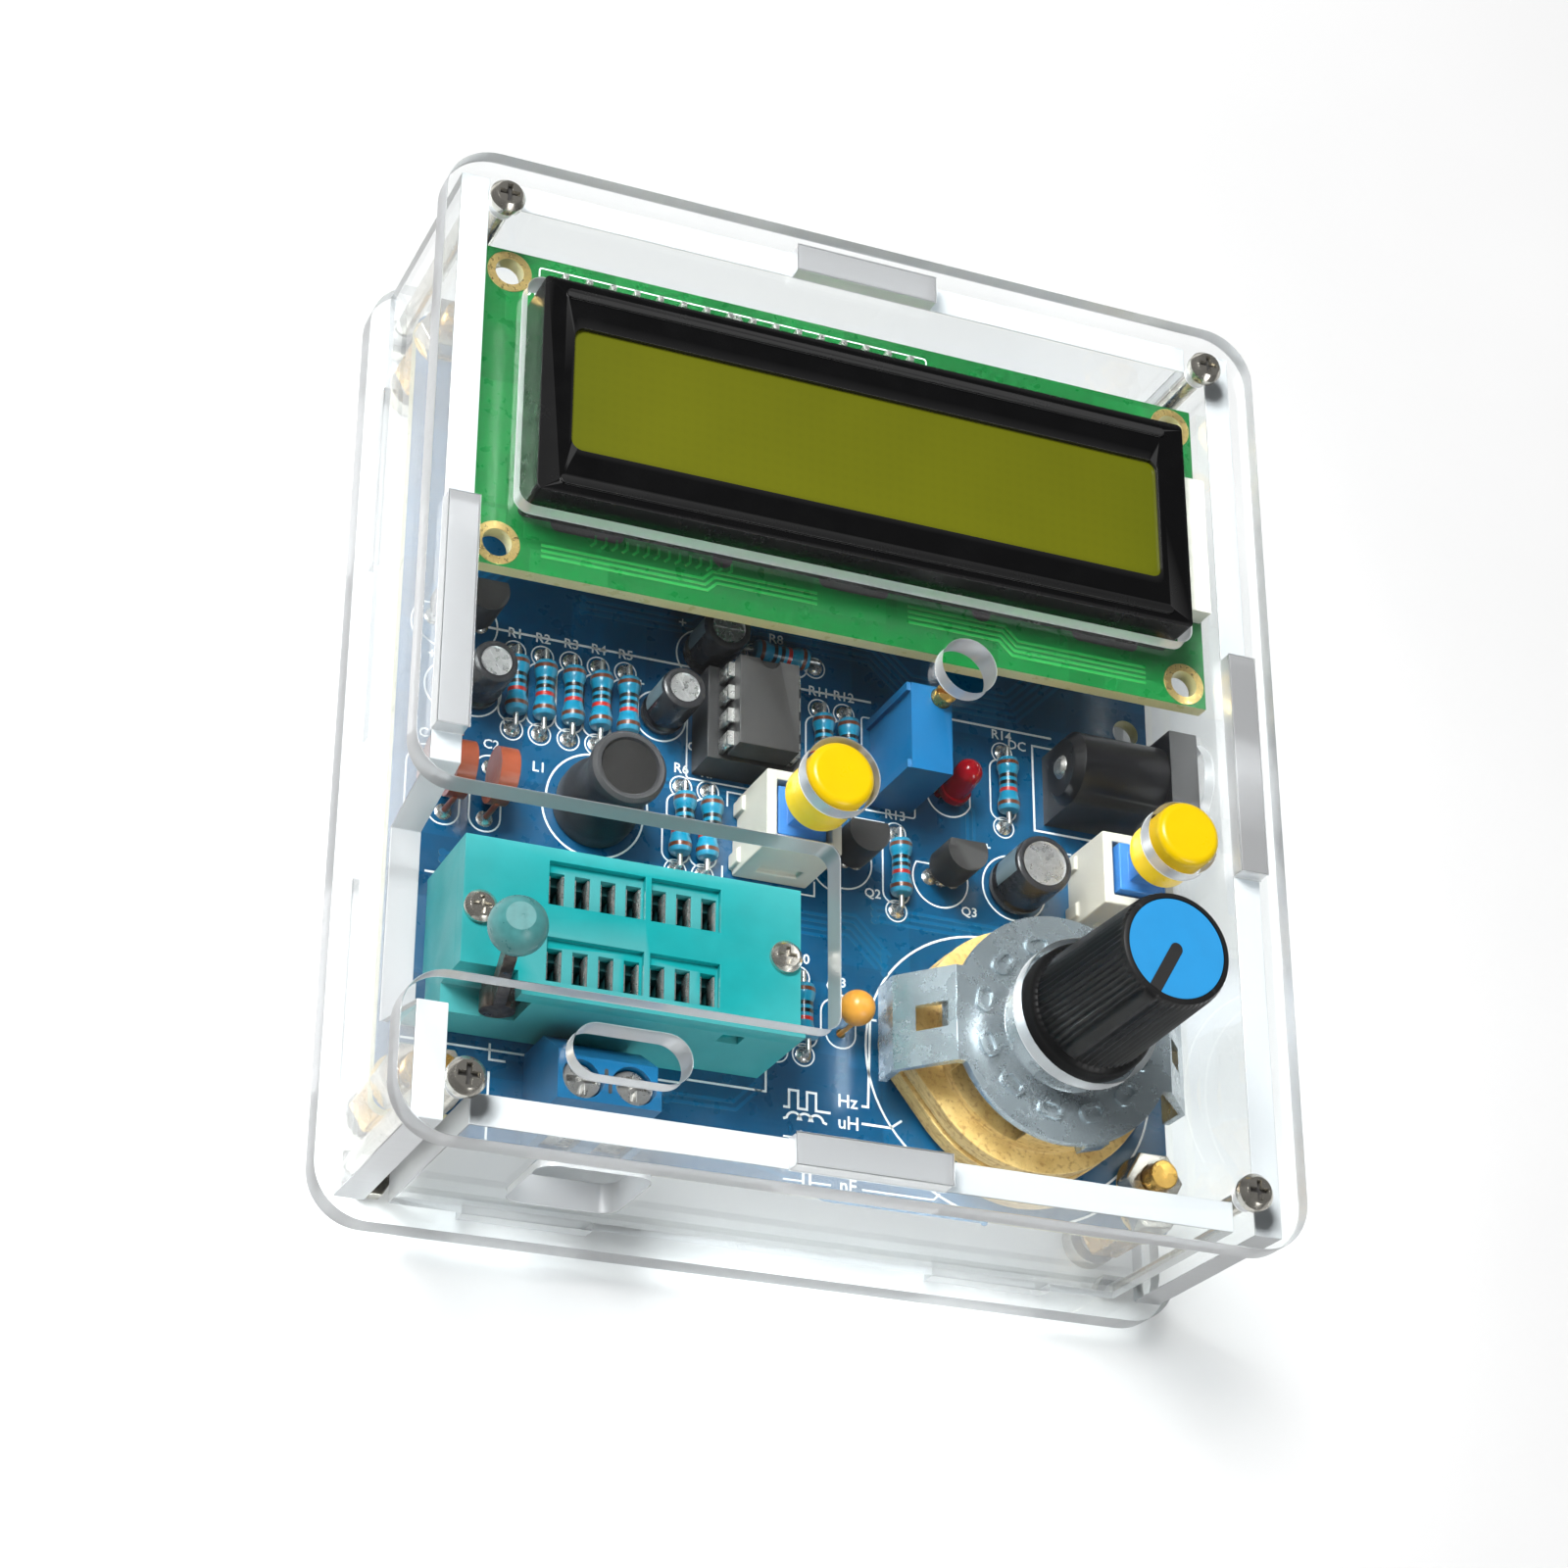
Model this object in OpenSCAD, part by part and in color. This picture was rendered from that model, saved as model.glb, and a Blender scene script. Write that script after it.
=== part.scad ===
// Pocket component tester in a clear laser-cut case: two panels and four tabbed walls around a
// main board with a character display, a lever socket, a rotary switch and two push buttons.
// Millimetres. +Z is out of the front panel, +Y is towards the display, the feet stand on z = 0.

/* [Case] */
// Width of the front and rear panels
panel_w = 91.2; // [90.6:0.2:94]
// Height of the front and rear panels, display side to terminal side
panel_h = 103.4; // [102.6:0.2:106]
// Corner radius of both panels
corner_r = 5.5; // [3:0.5:8]
// Thickness of the clear sheet
sheet_t = 3; // [2.6:0.1:3]
// Height of the walls between the panels
wall_h = 23; // [22.8:0.1:24]
// Distance from a panel edge to the outer face of a wall
wall_inset = 2; // [1.6:0.1:2.4]

/* [Fasteners] */
// Height of the screw heads that the case stands on
foot_h = 2; // [1.9:0.1:2.6]
// Height of the brass standoffs
standoff_h = 6; // [5.5:0.1:6.2]
// Shaft diameter of the long case screws
case_screw_d = 2; // [1.8:0.1:2]
// Thread diameter of the board fasteners
board_screw_d = 3; // [2.8:0.1:3]

/* [Boards] */
// Width of the main board
board_w = 80.4; // [80:0.1:80.8]
// Height of the main board
board_h = 86.8; // [86.4:0.1:88]
// Thickness of both boards
board_t = 1.6; // [1.4:0.1:1.6]
// Height of the display board above the main board
display_gap = 11; // [10.8:0.1:11.4]

/* [Controls] */
// Angle of the lever from upright as drawn
lever_lean = 12.2; // [8:0.1:16]
// Length of the lever from its pivot to the middle of its ball
lever_len = 19.3; // [18.5:0.1:20]
// Diameter of the button caps
cap_d = 6.9; // [6.2:0.1:7]
// Height that the released button stands above the latched one
button_out = 1.3; // [1.1:0.1:1.6]
// Direction of the knob pointer
pointer_angle = 240; // [180:30:270]
// Height of the knob
knob_h = 18.6; // [17:0.1:19]

/* [Hidden] */
$fn = 48;
fit = 0.05;                      // clearance of a tab in its slot, per side
touch = 0.3;                     // space between moving pieces that do not bear on each other
bear = 0.05;                     // radial clearance of a running fit
clear = 0.2;                     // extra diameter of a screw hole
over = 1;                        // how far a cut runs past a face
rear_z = foot_h;
wall_z = rear_z + sheet_t;
front_z = wall_z + wall_h;
face_z = front_z + sheet_t;
board_z = wall_z + standoff_h;
deck_z = board_z + board_t;      // upper face of the main board
wall_x = panel_w / 2 - wall_inset - sheet_t;
wall_y = panel_h / 2 - wall_inset - sheet_t;
side_len = 2 * (wall_y + sheet_t);
end_short = 2.3;                 // the end walls stop short of the long screws
end_len = 2 * (wall_x - end_short);
side_tab = 24.4;
end_tab = 15.6;
side_foot = 21;
end_foot = 13;
side_foot_y = 28;
end_foot_x = 24.5;
case_x = wall_x - end_short / 2;
case_y = panel_h / 2 - 5.4;
case_head_d = 3.7;
case_head_h = 1.4;
case_nut_af = 4;
case_nut_h = 1.6;
board_hole_in = 2.8;             // board hole to board edge
board_hole_x = board_w / 2 - board_hole_in;
board_hole_y = board_h / 2 - board_hole_in;
board_head_d = 5.5;
board_nut_af = 5.5;
board_nut_h = 2.4;
stud_h = 6;
standoff_af = 5;
standoff_bore = 4.5;
screw_bite = 4;                  // length of a board screw inside its standoff

lcd_w = 80;
lcd_h = 36;
lcd_x = 0.2;
lcd_hole_in = 2.5;
lcd_hole_d = 3;
lcd_y = 25.7;
lcd_z = deck_z + display_gap;
lcd_top = lcd_z + board_t;
bezel_w = 71.2;
bezel_h = 24.2;
bezel_t = 0.5;
glass_t = 1.4;
bezel_top = face_z + 1.2;
view_w = 64.6;
view_h = 13.9;
window_w = 73;
window_h = 25.8;
window_x = -0.2;
window_y = 25.3;
pin_pitch = 2.54;
header_pins = 16;
header_x = lcd_x - lcd_w / 2 + 8;
header_y = lcd_y + lcd_h / 2 - lcd_hole_in;
header_t = 2.5;                  // width of the header, and height of its upper strip

zif_x = -21.5;
zif_y = -27.5;
zif_w = 33.7;
zif_h = 15.5;
zif_top = deck_z + 11.8;
zif_split = zif_top - 1.9;
zif_rows = 7.62;
zif_cols = 7;
zif_slot_w = 1.5;
zif_slot_h = 3.4;
zif_corner_w = 5.6;              // corner that is cut away around the lever
zif_corner_h = 2.7;
hub_room = 1.6;                  // further cut in the base beside the lever's hub
pivot_x = -33.4;
pivot_z = deck_z + 6.8;
lever_y = zif_y - zif_h / 2 + 0.9;
lever_t = 1.2;
lever_w = 2;
ball_d = 5.4;
cam_r = 1.5;
notch_end = -3.5;                // end of the front panel notch around the socket
notch_low = -36.3;
notch_high = -17.6;
mouth_r = 4.5;
notch_flare = 2.6;               // the lever notch in the left wall: widening at its mouth,
notch_room = 0.4;                // spare width at its floor
notch_floor = 2;                 // and depth of its floor below the pivot
zif_screw_x = 15.2;
zif_screw_y = 0.5;

button_y = -9.9;
left_x = -3.1;
right_x = 34;
switch_w = 8;
switch_h = 8;
plunger_w = 5.2;
plunger_h = 5.4;
stem_w = 3.2;
cap_h = 7.8;
latched_z = face_z + 0.2;        // top of the cap while the switch is latched
stem_top = latched_z - 1.8;
button_hole = 7.7;

knob_x = 22.7;
knob_y = -30.1;
knob_top = face_z + 16.9;
skirt_d = 13.8;
skirt_h = 2.4;
knob_low_d = 12.6;
knob_high_d = 11.6;
flutes = 36;
knob_cap_d = 9.8;
shaft_d = 6;
bush_d = 9;
bush_h = 6.6;
plate_z = deck_z + 10.9;         // underside of the rotary switch's metal plate
plate_t = 1;
plate_d = 23.4;
stator_z = deck_z + 0.8;
rotor_d = 15;
rotor_z = deck_z + 3.2;
rotor_h = 5.4;
pointer_window = 228;            // direction of the window in the stator

jack_y = 1.45;
inlet_hole_d = 10;
jack_back = 26.6;
jack_front = 40.4;
jack_w = 9;
jack_h = 10;
jack_axis_z = deck_z + 5.9;
jack_bore_d = 6.3;
jack_depth = 9.4;
jack_rivet_d = 1.5;

trim_x = 9.9;
trim_y = 0.8;
trim_w = 4.5;
trim_l = 9.5;
trim_screw_x = 11;
trim_screw_y = 4.4;
trim_screw_d = 2.2;
trim_hole_d = 5.9;

term_x = -23.3;
term_back = -36.4;
term_front = -43.9;
term_pitch = 5.08;
term_h = 10;
term_y = -41.6;
term_slot_w = 11.4;              // slot in the front panel over the two screws
term_slot_h = 4.8;
wire_slot_w = 11;
wire_slot_h = 11.4;
wire_slot_z = 3.2;
wire_d = 3.2;                    // wire entry, also the screw's bore in the block
clamp_w = 3.3;
term_screw_d = 2.6;
screw_len = 3.6;
clamp_h = 3.4;

// Middle of each axial resistor and its direction: 90 lies along y
resistors = [
    [-31, 1.5, 90], [-28.1, 1.5, 90], [-25.1, 1.5, 90], [-22.2, 1.5, 90], [-19.3, 1.5, 90],
    [-2.9, 10.6, 0], [1.9, 1.6, 90], [4.7, 1.6, 90], [-13.1, -10, 90], [-10.2, -10, 90],
    [10.4, -10.8, 90], [22.8, 0.7, 90], [0.2, -27.8, 90], [-2.6, -27.8, 90]
];
resistor_z = deck_z + 1.3;
resistor_len = 6.2;
resistor_span = 8.6;
transistor_at = [[4.6, -10], [15.4, -10.2], [-36, 8.4]];
// Middle and diameter of each electrolytic can
cans = [[-35, 0.6, 4.6], [-15.5, 1.7, 4.6], [-10.9, 9.4, 5], [23.8, -10.3, 6.3]];
ceramic_x = [-37.2, -33];
ceramic_y = -9.9;
ceramic_t = 1.9;
yellow_at = [4.2, -28];
led_at = [16.6, -1.1];
led_lean = 10;
crystal_at = [24, 24];

// ---- shared shapes ----

module round_rect(w, h, r) {
    square([w - 2 * r, h], center = true);
    square([w, h - 2 * r], center = true);
    for (sx = [-1, 1], sy = [-1, 1])
        translate([sx * (w / 2 - r), sy * (h / 2 - r)]) circle(r);
}

module block(size, at) {
    translate([at[0] - size[0] / 2, at[1] - size[1] / 2, at[2]]) cube(size);
}

module four(x, y) {
    for (sx = [-1, 1], sy = [-1, 1]) translate([sx * x, sy * y, 0]) children();
}

module hex_prism(across, h) {
    cylinder(d = across / cos(30), h = h, $fn = 6);
}

module cross_slot(d, depth, w) {
    for (a = [0, 90]) rotate(a) translate([-d / 2, -w / 2, -depth]) cube([d, w, depth + over]);
}

// A screw head on z = 0 with its shaft below
module pan_screw(head_d, head_h, shaft_d, shaft_len) {
    difference() {
        union() {
            cylinder(d = head_d, h = head_h * 0.55);
            translate([0, 0, head_h * 0.55]) cylinder(d1 = head_d, d2 = head_d * 0.72, h = head_h * 0.45);
        }
        translate([0, 0, head_h]) cross_slot(head_d * 0.56, head_h * 0.5, head_d * 0.15);
    }
    translate([0, 0, -shaft_len]) cylinder(d = shaft_d, h = shaft_len);
}

// ---- case ----

module tab_slots() {
    for (s = [-1, 1]) {
        translate([s * (wall_x + sheet_t / 2), 0])
            square([sheet_t + 2 * fit, side_tab + 2 * fit], center = true);
        translate([0, s * (wall_y + sheet_t / 2)])
            square([end_tab + 2 * fit, sheet_t + 2 * fit], center = true);
    }
}

module foot_slots() {
    for (s = [-1, 1], e = [-1, 1]) {
        translate([s * (wall_x + sheet_t / 2), e * side_foot_y])
            square([sheet_t + 2 * fit, side_foot + 2 * fit], center = true);
        translate([e * end_foot_x, s * (wall_y + sheet_t / 2)])
            square([end_foot + 2 * fit, sheet_t + 2 * fit], center = true);
    }
}

// Notch for the lever socket, open to the left edge with rounded lips
module socket_notch() {
    notch_w = notch_end + panel_w / 2;
    notch_h = notch_high - notch_low;
    translate([notch_end - notch_w / 2 - 2, (notch_high + notch_low) / 2])
        round_rect(notch_w + 4, notch_h, 1.5);
    translate([-panel_w / 2 - over, notch_low]) square([notch_w / 2, notch_h]);
    for (s = [-1, 1]) {
        lip_y = s > 0 ? notch_high : notch_low;
        difference() {
            translate([-panel_w / 2 - over, s > 0 ? lip_y - over : lip_y - mouth_r])
                square([mouth_r + over, mouth_r + over]);
            translate([-panel_w / 2 + mouth_r, lip_y + s * mouth_r]) circle(mouth_r);
            translate([-panel_w / 2 + mouth_r, lip_y - 10]) square([10, 20]);
        }
    }
}

module front_panel() {
    color([0.86, 0.92, 0.94, 0.4])
        translate([0, 0, front_z]) linear_extrude(sheet_t) difference() {
            round_rect(panel_w, panel_h, corner_r);
            tab_slots();
            socket_notch();
            translate([window_x, window_y]) round_rect(window_w, window_h, 1.6);
            for (sx = [-1, 1], sy = [-1, 1])
                translate([sx * case_x, sy * case_y]) circle(d = case_screw_d + touch);
            translate([knob_x, knob_y]) circle(d = skirt_d + 3 * touch);
            for (x = [left_x, right_x]) translate([x, button_y]) circle(d = button_hole);
            translate([trim_screw_x - 0.3, trim_screw_y + 0.2]) circle(d = trim_hole_d);
            translate([term_x - 0.5, term_y]) round_rect(term_slot_w, term_slot_h, term_slot_h / 2 - 0.01);
        }
}

module rear_panel() {
    color([0.86, 0.92, 0.94, 0.4])
        translate([0, 0, rear_z]) linear_extrude(sheet_t) difference() {
            round_rect(panel_w, panel_h, corner_r);
            foot_slots();
            for (sx = [-1, 1], sy = [-1, 1]) {
                translate([sx * case_x, sy * case_y]) circle(d = case_screw_d + touch);
                translate([sx * board_hole_x, sy * board_hole_y]) circle(d = board_screw_d + clear);
            }
        }
}

// Outline of a wall in its own plane, y up, with one tab on top and two feet below
module wall_outline(len, tab, foot, foot_at) {
    translate([-len / 2, wall_z]) square([len, wall_h]);
    translate([-tab / 2, front_z - over]) square([tab, sheet_t + over]);
    for (s = [-1, 1]) translate([s * foot_at - foot / 2, rear_z]) square([foot, sheet_t + over]);
}

module left_wall() {
    color([0.86, 0.92, 0.94, 0.4])
        translate([-wall_x - sheet_t, 0, 0]) rotate([90, 0, 90]) linear_extrude(sheet_t) difference() {
            wall_outline(side_len, side_tab, side_foot, side_foot_y);
            // the lever swings out through this notch
            polygon([[notch_low - notch_flare, front_z + over],
                [notch_low - notch_room, pivot_z - notch_floor],
                [notch_high + notch_room, pivot_z - notch_floor],
                [notch_high + notch_flare, front_z + over]]);
        }
}

module right_wall() {
    color([0.86, 0.92, 0.94, 0.4])
        translate([wall_x, 0, 0]) rotate([90, 0, 90]) linear_extrude(sheet_t) difference() {
            wall_outline(side_len, side_tab, side_foot, side_foot_y);
            translate([jack_y, jack_axis_z]) circle(d = inlet_hole_d);
        }
}

module top_wall() {
    color([0.86, 0.92, 0.94, 0.4])
        translate([0, wall_y + sheet_t, 0]) rotate([90, 0, 0]) linear_extrude(sheet_t)
            wall_outline(end_len, end_tab, end_foot, end_foot_x);
}

module bottom_wall() {
    color([0.86, 0.92, 0.94, 0.4])
        translate([0, -wall_y, 0]) rotate([90, 0, 0]) linear_extrude(sheet_t) difference() {
            wall_outline(end_len, end_tab, end_foot, end_foot_x);
            // wires to the screw terminals pass here
            translate([term_x, deck_z + wire_slot_z]) round_rect(wire_slot_w, wire_slot_h, 1.8);
        }
}

// ---- fasteners ----

module case_screws() {
    color("silver") four(case_x, case_y) translate([0, 0, face_z])
        pan_screw(case_head_d, case_head_h, case_screw_d, 2 * sheet_t + wall_h + case_nut_h);
}

module case_nuts() {
    color("silver") four(case_x, case_y) translate([0, 0, rear_z - case_nut_h]) difference() {
        hex_prism(case_nut_af, case_nut_h);
        translate([0, 0, -over]) cylinder(d = case_screw_d + 2 * bear, h = case_nut_h + 2 * over);
    }
}

module board_standoffs() {
    color("goldenrod") four(board_hole_x, board_hole_y) translate([0, 0, wall_z]) {
        difference() {
            hex_prism(standoff_af, standoff_h);
            translate([0, 0, -over]) cylinder(d = board_screw_d + 2 * bear, h = standoff_bore + over);
        }
        translate([0, 0, standoff_h]) cylinder(d = board_screw_d, h = stud_h);
    }
}

module board_nuts() {
    color("silver") four(board_hole_x, board_hole_y) translate([0, 0, deck_z]) difference() {
        hex_prism(board_nut_af, board_nut_h);
        translate([0, 0, -over]) cylinder(d = board_screw_d + 2 * bear, h = board_nut_h + 2 * over);
    }
}

module board_screws() {
    color("silver") four(board_hole_x, board_hole_y) translate([0, 0, rear_z]) rotate([180, 0, 0]) {
        difference() {
            cylinder(d = board_head_d, h = foot_h);
            translate([0, 0, foot_h]) cross_slot(board_head_d * 0.58, foot_h / 2, 0.8);
        }
        translate([0, 0, -sheet_t - screw_bite]) cylinder(d = board_screw_d, h = sheet_t + screw_bite);
    }
}

// ---- boards ----

// Holes that the legs of the small parts pass through
module leg_holes() {
    small = 0.95;
    for (row = [-1, 1], i = [0:zif_cols - 1])
        translate([zif_x + (i - (zif_cols - 1) / 2) * pin_pitch, zif_y + row * zif_rows / 2]) circle(d = 1.7);
    for (i = [0:11]) translate([knob_x, knob_y]) rotate(15 + i * 30) translate([10.2, 0]) circle(d = 1.5);
    for (r = resistors, s = [-1, 1])
        translate([r[0], r[1]]) rotate(r[2]) translate([s * resistor_span / 2, 0]) circle(d = small);
    for (t = transistor_at, i = [-1, 0, 1]) translate([t[0] + i * 1.27, t[1]]) circle(d = small);
    for (c = ceramic_x, s = [-1, 1]) translate([c, ceramic_y + s * 2.5]) circle(d = small);
    for (s = [-1, 1]) {
        translate([yellow_at[0], yellow_at[1] + s * 1.27]) circle(d = small);
        translate([led_at[0] + s * 1.27, led_at[1]]) circle(d = small);
        translate([crystal_at[0] + s * 2.44, crystal_at[1]]) circle(d = small);
    }
}

module main_board() {
    color([0, 0.32, 0.5]) translate([0, 0, board_z]) linear_extrude(board_t) difference() {
        round_rect(board_w, board_h, 1.5);
        leg_holes();
        for (sx = [-1, 1], sy = [-1, 1])
            translate([sx * board_hole_x, sy * board_hole_y]) circle(d = board_screw_d + clear);
        translate([lcd_x + lcd_w / 2 - lcd_hole_in, lcd_y - lcd_h / 2 + lcd_hole_in]) circle(d = lcd_hole_d);
    }
}

module lcd_board() {
    color([0.12, 0.6, 0.28]) translate([lcd_x, lcd_y, lcd_z]) linear_extrude(board_t) difference() {
        square([lcd_w, lcd_h], center = true);
        for (sx = [-1, 1], sy = [-1, 1])
            translate([sx * (lcd_w / 2 - lcd_hole_in), sy * (lcd_h / 2 - lcd_hole_in)])
                circle(d = lcd_hole_d);
        for (i = [0:header_pins - 1])
            translate([header_x - lcd_x + i * pin_pitch, header_y - lcd_y]) circle(d = 1);
    }
}

module lcd_bezel() {
    depth = bezel_top - lcd_top;
    rib_h = 0.25;
    rib_w = 1;
    view_r = 1.2;
    color([0.09, 0.09, 0.1]) translate([lcd_x, lcd_y, lcd_top]) {
        difference() {
            linear_extrude(depth) round_rect(bezel_w, bezel_h, 0.6);
            block([bezel_w - 2 * bezel_t, bezel_h - 2 * bezel_t, depth], [0, 0, -bezel_t]);
            linear_extrude(depth + over) round_rect(view_w, view_h, view_r);
        }
        // embossed rib along both long borders
        for (s = [-1, 1]) translate([0, s * (view_h / 2 + 3.6), depth])
            linear_extrude(rib_h) round_rect(view_w + 2, rib_w, rib_w / 2 - 0.01);
    }
}

module lcd_glass() {
    color([0.62, 0.66, 0.1])
        block([bezel_w - 2, bezel_h - 2, glass_t], [lcd_x, lcd_y, bezel_top - bezel_t - glass_t]);
}

module lcd_backlight() {
    lug_w = 4.2;
    light_h = bezel_top - bezel_t - glass_t - lcd_top;
    color("white") {
        block([bezel_w - 1.6, bezel_h - 1.6, light_h], [lcd_x, lcd_y, lcd_top]);
        // side lug with the lamp
        block([lug_w, 16, front_z - lcd_top - 0.2], [lcd_x + (bezel_w + lug_w) / 2, lcd_y, lcd_top]);
    }
}

module lcd_header_pins() {
    len = header_pins * pin_pitch;
    mid = header_x + (header_pins - 1) * pin_pitch / 2;
    color([0.15, 0.15, 0.16]) block([len, header_t, header_t], [mid, header_y, lcd_z - header_t]);
    color("silver") for (i = [0:header_pins - 1])
        block([0.6, 0.6, 3.1], [header_x + i * pin_pitch, header_y, lcd_z]);
}

module lcd_header_socket() {
    len = header_pins * pin_pitch;
    mid = header_x + (header_pins - 1) * pin_pitch / 2;
    color([0.15, 0.15, 0.16]) block([len, header_t, lcd_z - header_t - deck_z], [mid, header_y, deck_z]);
}

// ---- lever socket ----

module zif_slot_row(row, w, h, z, t) {
    for (i = [0:zif_cols - 1])
        block([w, h, t], [zif_x + (i - (zif_cols - 1) / 2) * pin_pitch, zif_y + row * zif_rows / 2, z]);
}

module zif_corner_cut(z, w) {
    translate([zif_x - zif_w / 2 - over, zif_y - zif_h / 2 - over, z])
        cube([w + over, zif_corner_h + over, zif_top]);
}

module zif_base() {
    cavity_z = deck_z + 4.6;
    color([0.1, 0.7, 0.7]) difference() {
        block([zif_w, zif_h, zif_split - deck_z], [zif_x, zif_y, deck_z]);
        block([25.2, 13, zif_split], [zif_x + 0.6, zif_y, cavity_z]);
        zif_corner_cut(pivot_z - 1.9, zif_corner_w + hub_room);
        translate([pivot_x, zif_y - zif_h / 2 + zif_corner_h - over, pivot_z]) rotate([-90, 0, 0])
            cylinder(r = cam_r + bear, h = 8 + over);
        for (row = [-1, 1]) zif_slot_row(row, 0.9, 1.6, deck_z - over, 10);
        for (s = [-1, 1]) translate([zif_x + s * zif_screw_x, zif_y + zif_screw_y, deck_z + 4])
            cylinder(d = 1.7, h = 10);
        // latch recess in the front side
        block([2.2, 1.6, 2], [zif_x + 10.5, zif_y - zif_h / 2, zif_split - 2.3]);
    }
}

module zif_cover() {
    color([0.1, 0.76, 0.75]) difference() {
        block([zif_w, zif_h, zif_top - zif_split], [zif_x, zif_y, zif_split]);
        zif_corner_cut(zif_split - over, zif_corner_w);
        for (row = [-1, 1]) {
            zif_slot_row(row, zif_slot_w, zif_slot_h, zif_split - over, 10);
            // two shallow troughs around each row, parted after the fourth slot
            for (part = [[-1.5, 4], [2, 3]])
                block([part[1] * pin_pitch - 0.6, zif_slot_h + 1, 10],
                    [zif_x + part[0] * pin_pitch, zif_y + row * zif_rows / 2 + 0.4, zif_top - 0.7]);
        }
        for (s = [-1, 1])
            translate([zif_x + s * zif_screw_x, zif_y + zif_screw_y, zif_split - over])
                cylinder(d = 2.2, h = 10);
    }
}

module zif_slider() {
    color([0.1, 0.6, 0.62]) difference() {
        block([21.6, 12.4, 2.6], [zif_x + 0.75, zif_y, deck_z + 6.6]);
        for (row = [-1, 1]) zif_slot_row(row, 1.9, 2.2, deck_z, 20);
    }
}

module zif_contacts() {
    color("silver") for (row = [-1, 1]) {
        zif_slot_row(row, 0.7, 1.3, board_z - 1.4, 8.6);
    }
}

module zif_lever() {
    color([0.42, 0.4, 0.38]) {
        translate([pivot_x, lever_y, pivot_z]) rotate([0, -lever_lean, 0]) {
            block([lever_t, lever_w, lever_len + 2], [0, 0, 0]);
            rotate([90, 0, 0]) translate([0, 0, -lever_w / 2]) cylinder(r = 1.7, h = lever_w);
        }
        translate([pivot_x, lever_y, pivot_z]) rotate([-90, 0, 0]) cylinder(r = cam_r, h = 7.6);
    }
}

module zif_lever_ball() {
    color([0.35, 0.62, 0.62]) translate([pivot_x, lever_y, pivot_z]) rotate([0, -lever_lean, 0])
        translate([0, 0, lever_len]) difference() {
            sphere(d = ball_d);
            translate([0, 0, ball_d / 2 - 0.35]) cylinder(d = ball_d, h = ball_d);
            block([lever_t, lever_w, 2 + ball_d], [0, 0, -ball_d]);
        }
}

module zif_screws() {
    color("silver") for (s = [-1, 1]) translate([zif_x + s * zif_screw_x, zif_y + zif_screw_y, zif_top])
        pan_screw(3.2, 0.9, 1.6, 6);
}

// ---- push buttons ----

module switch_body(x) {
    color([0.92, 0.9, 0.86]) translate([x, button_y, deck_z]) difference() {
        union() {
            block([switch_w, switch_w, switch_h], [0, 0, 0]);
            for (s = [-1, 1]) block([switch_w + 0.8, 1.6, 2.4], [0, s * 2.6, 0]);
        }
        block([plunger_w + 2 * touch, plunger_w + 2 * touch, switch_h], [0, 0, 1.2]);
        // the cover is cut back at both ends above the dark base
        for (s = [-1, 1]) block([4.4, 1, 1.6], [0, s * switch_w / 2, 2]);
    }
}

module switch_plunger(x, lift) {
    color([0.05, 0.3, 0.6]) translate([x, button_y, 0]) {
        block([plunger_w, plunger_w, plunger_h], [0, 0, deck_z + 2 + lift]);
        block([stem_w, stem_w, stem_top - deck_z - 2 - plunger_h], [0, 0, deck_z + 2 + plunger_h + lift]);
    }
}

module button_cap(x, lift) {
    color([1, 0.85, 0]) translate([x, button_y, latched_z - cap_h + lift]) difference() {
        rotate_extrude() polygon([[0, 0], [cap_d / 2, 0], [cap_d / 2, cap_h - 0.5],
            [cap_d / 2 - 0.5, cap_h], [0, cap_h]]);
        block([stem_w, stem_w, cap_h - 1.7 + over], [0, 0, -over]);
    }
}

module left_switch_body() { switch_body(left_x); }
module left_switch_plunger() { switch_plunger(left_x, 0); }
module left_button_cap() { button_cap(left_x, 0); }
module right_switch_body() { switch_body(right_x); }
module right_switch_plunger() { switch_plunger(right_x, button_out); }
module right_button_cap() { button_cap(right_x, button_out); }

// ---- rotary switch ----

module at_knob(z) {
    translate([knob_x, knob_y, z]) children();
}

module rotary_plate() {
    strap_w = 9.8;
    strap_t = 0.8;
    fold = 11.6;
    side = 16;         // outer face of a strap's upright part
    slope_end = -4.2;  // where a strap turns from sloping to upright
    strap_end = -7.5;
    dimples = 12;
    color([0.72, 0.74, 0.74]) at_knob(plate_z) difference() {
        union() {
            cylinder(d = plate_d, h = plate_t);
            // raised rims of the detent dimples
            for (i = [0:dimples - 1]) rotate(18 + i * 360 / dimples) translate([8.7, 0, plate_t - 0.1])
                linear_extrude(0.4) difference() {
                    round_rect(1.9, 2.8, 0.9);
                    round_rect(1, 1.9, 0.45);
                }
            translate([0, 0, plate_t]) cylinder(d1 = 13, d2 = 11.2, h = 1.4);
            cylinder(d = bush_d, h = bush_h);
            // lug folded down from the rim
            rotate(-74) translate([11.35, 0, 0]) block([1.1, 2.8, 1.9], [0, 0, -1.2]);
            // straps that slope out and run down past both ends of the stator
            for (s = [-1, 1]) {
                block([strap_w / 2, strap_w, plate_t], [s * (fold - strap_w / 4), 0, 0]);
                rotate([90, 0, 0]) translate([0, 0, -strap_w / 2]) linear_extrude(strap_w)
                    polygon([[s * fold, plate_t], [s * side, slope_end], [s * side, strap_end],
                        [s * (side - strap_t), strap_end], [s * (side - strap_t), slope_end],
                        [s * (fold - 0.4), 0]]);
            }
        }
        for (s = [-1, 1]) block([2.2, 2.6, 12], [s * (fold + 1.7), 0, -6]);
        translate([0, 0, -over]) cylinder(d = shaft_d + 2 * bear, h = 12);
    }
}

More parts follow.
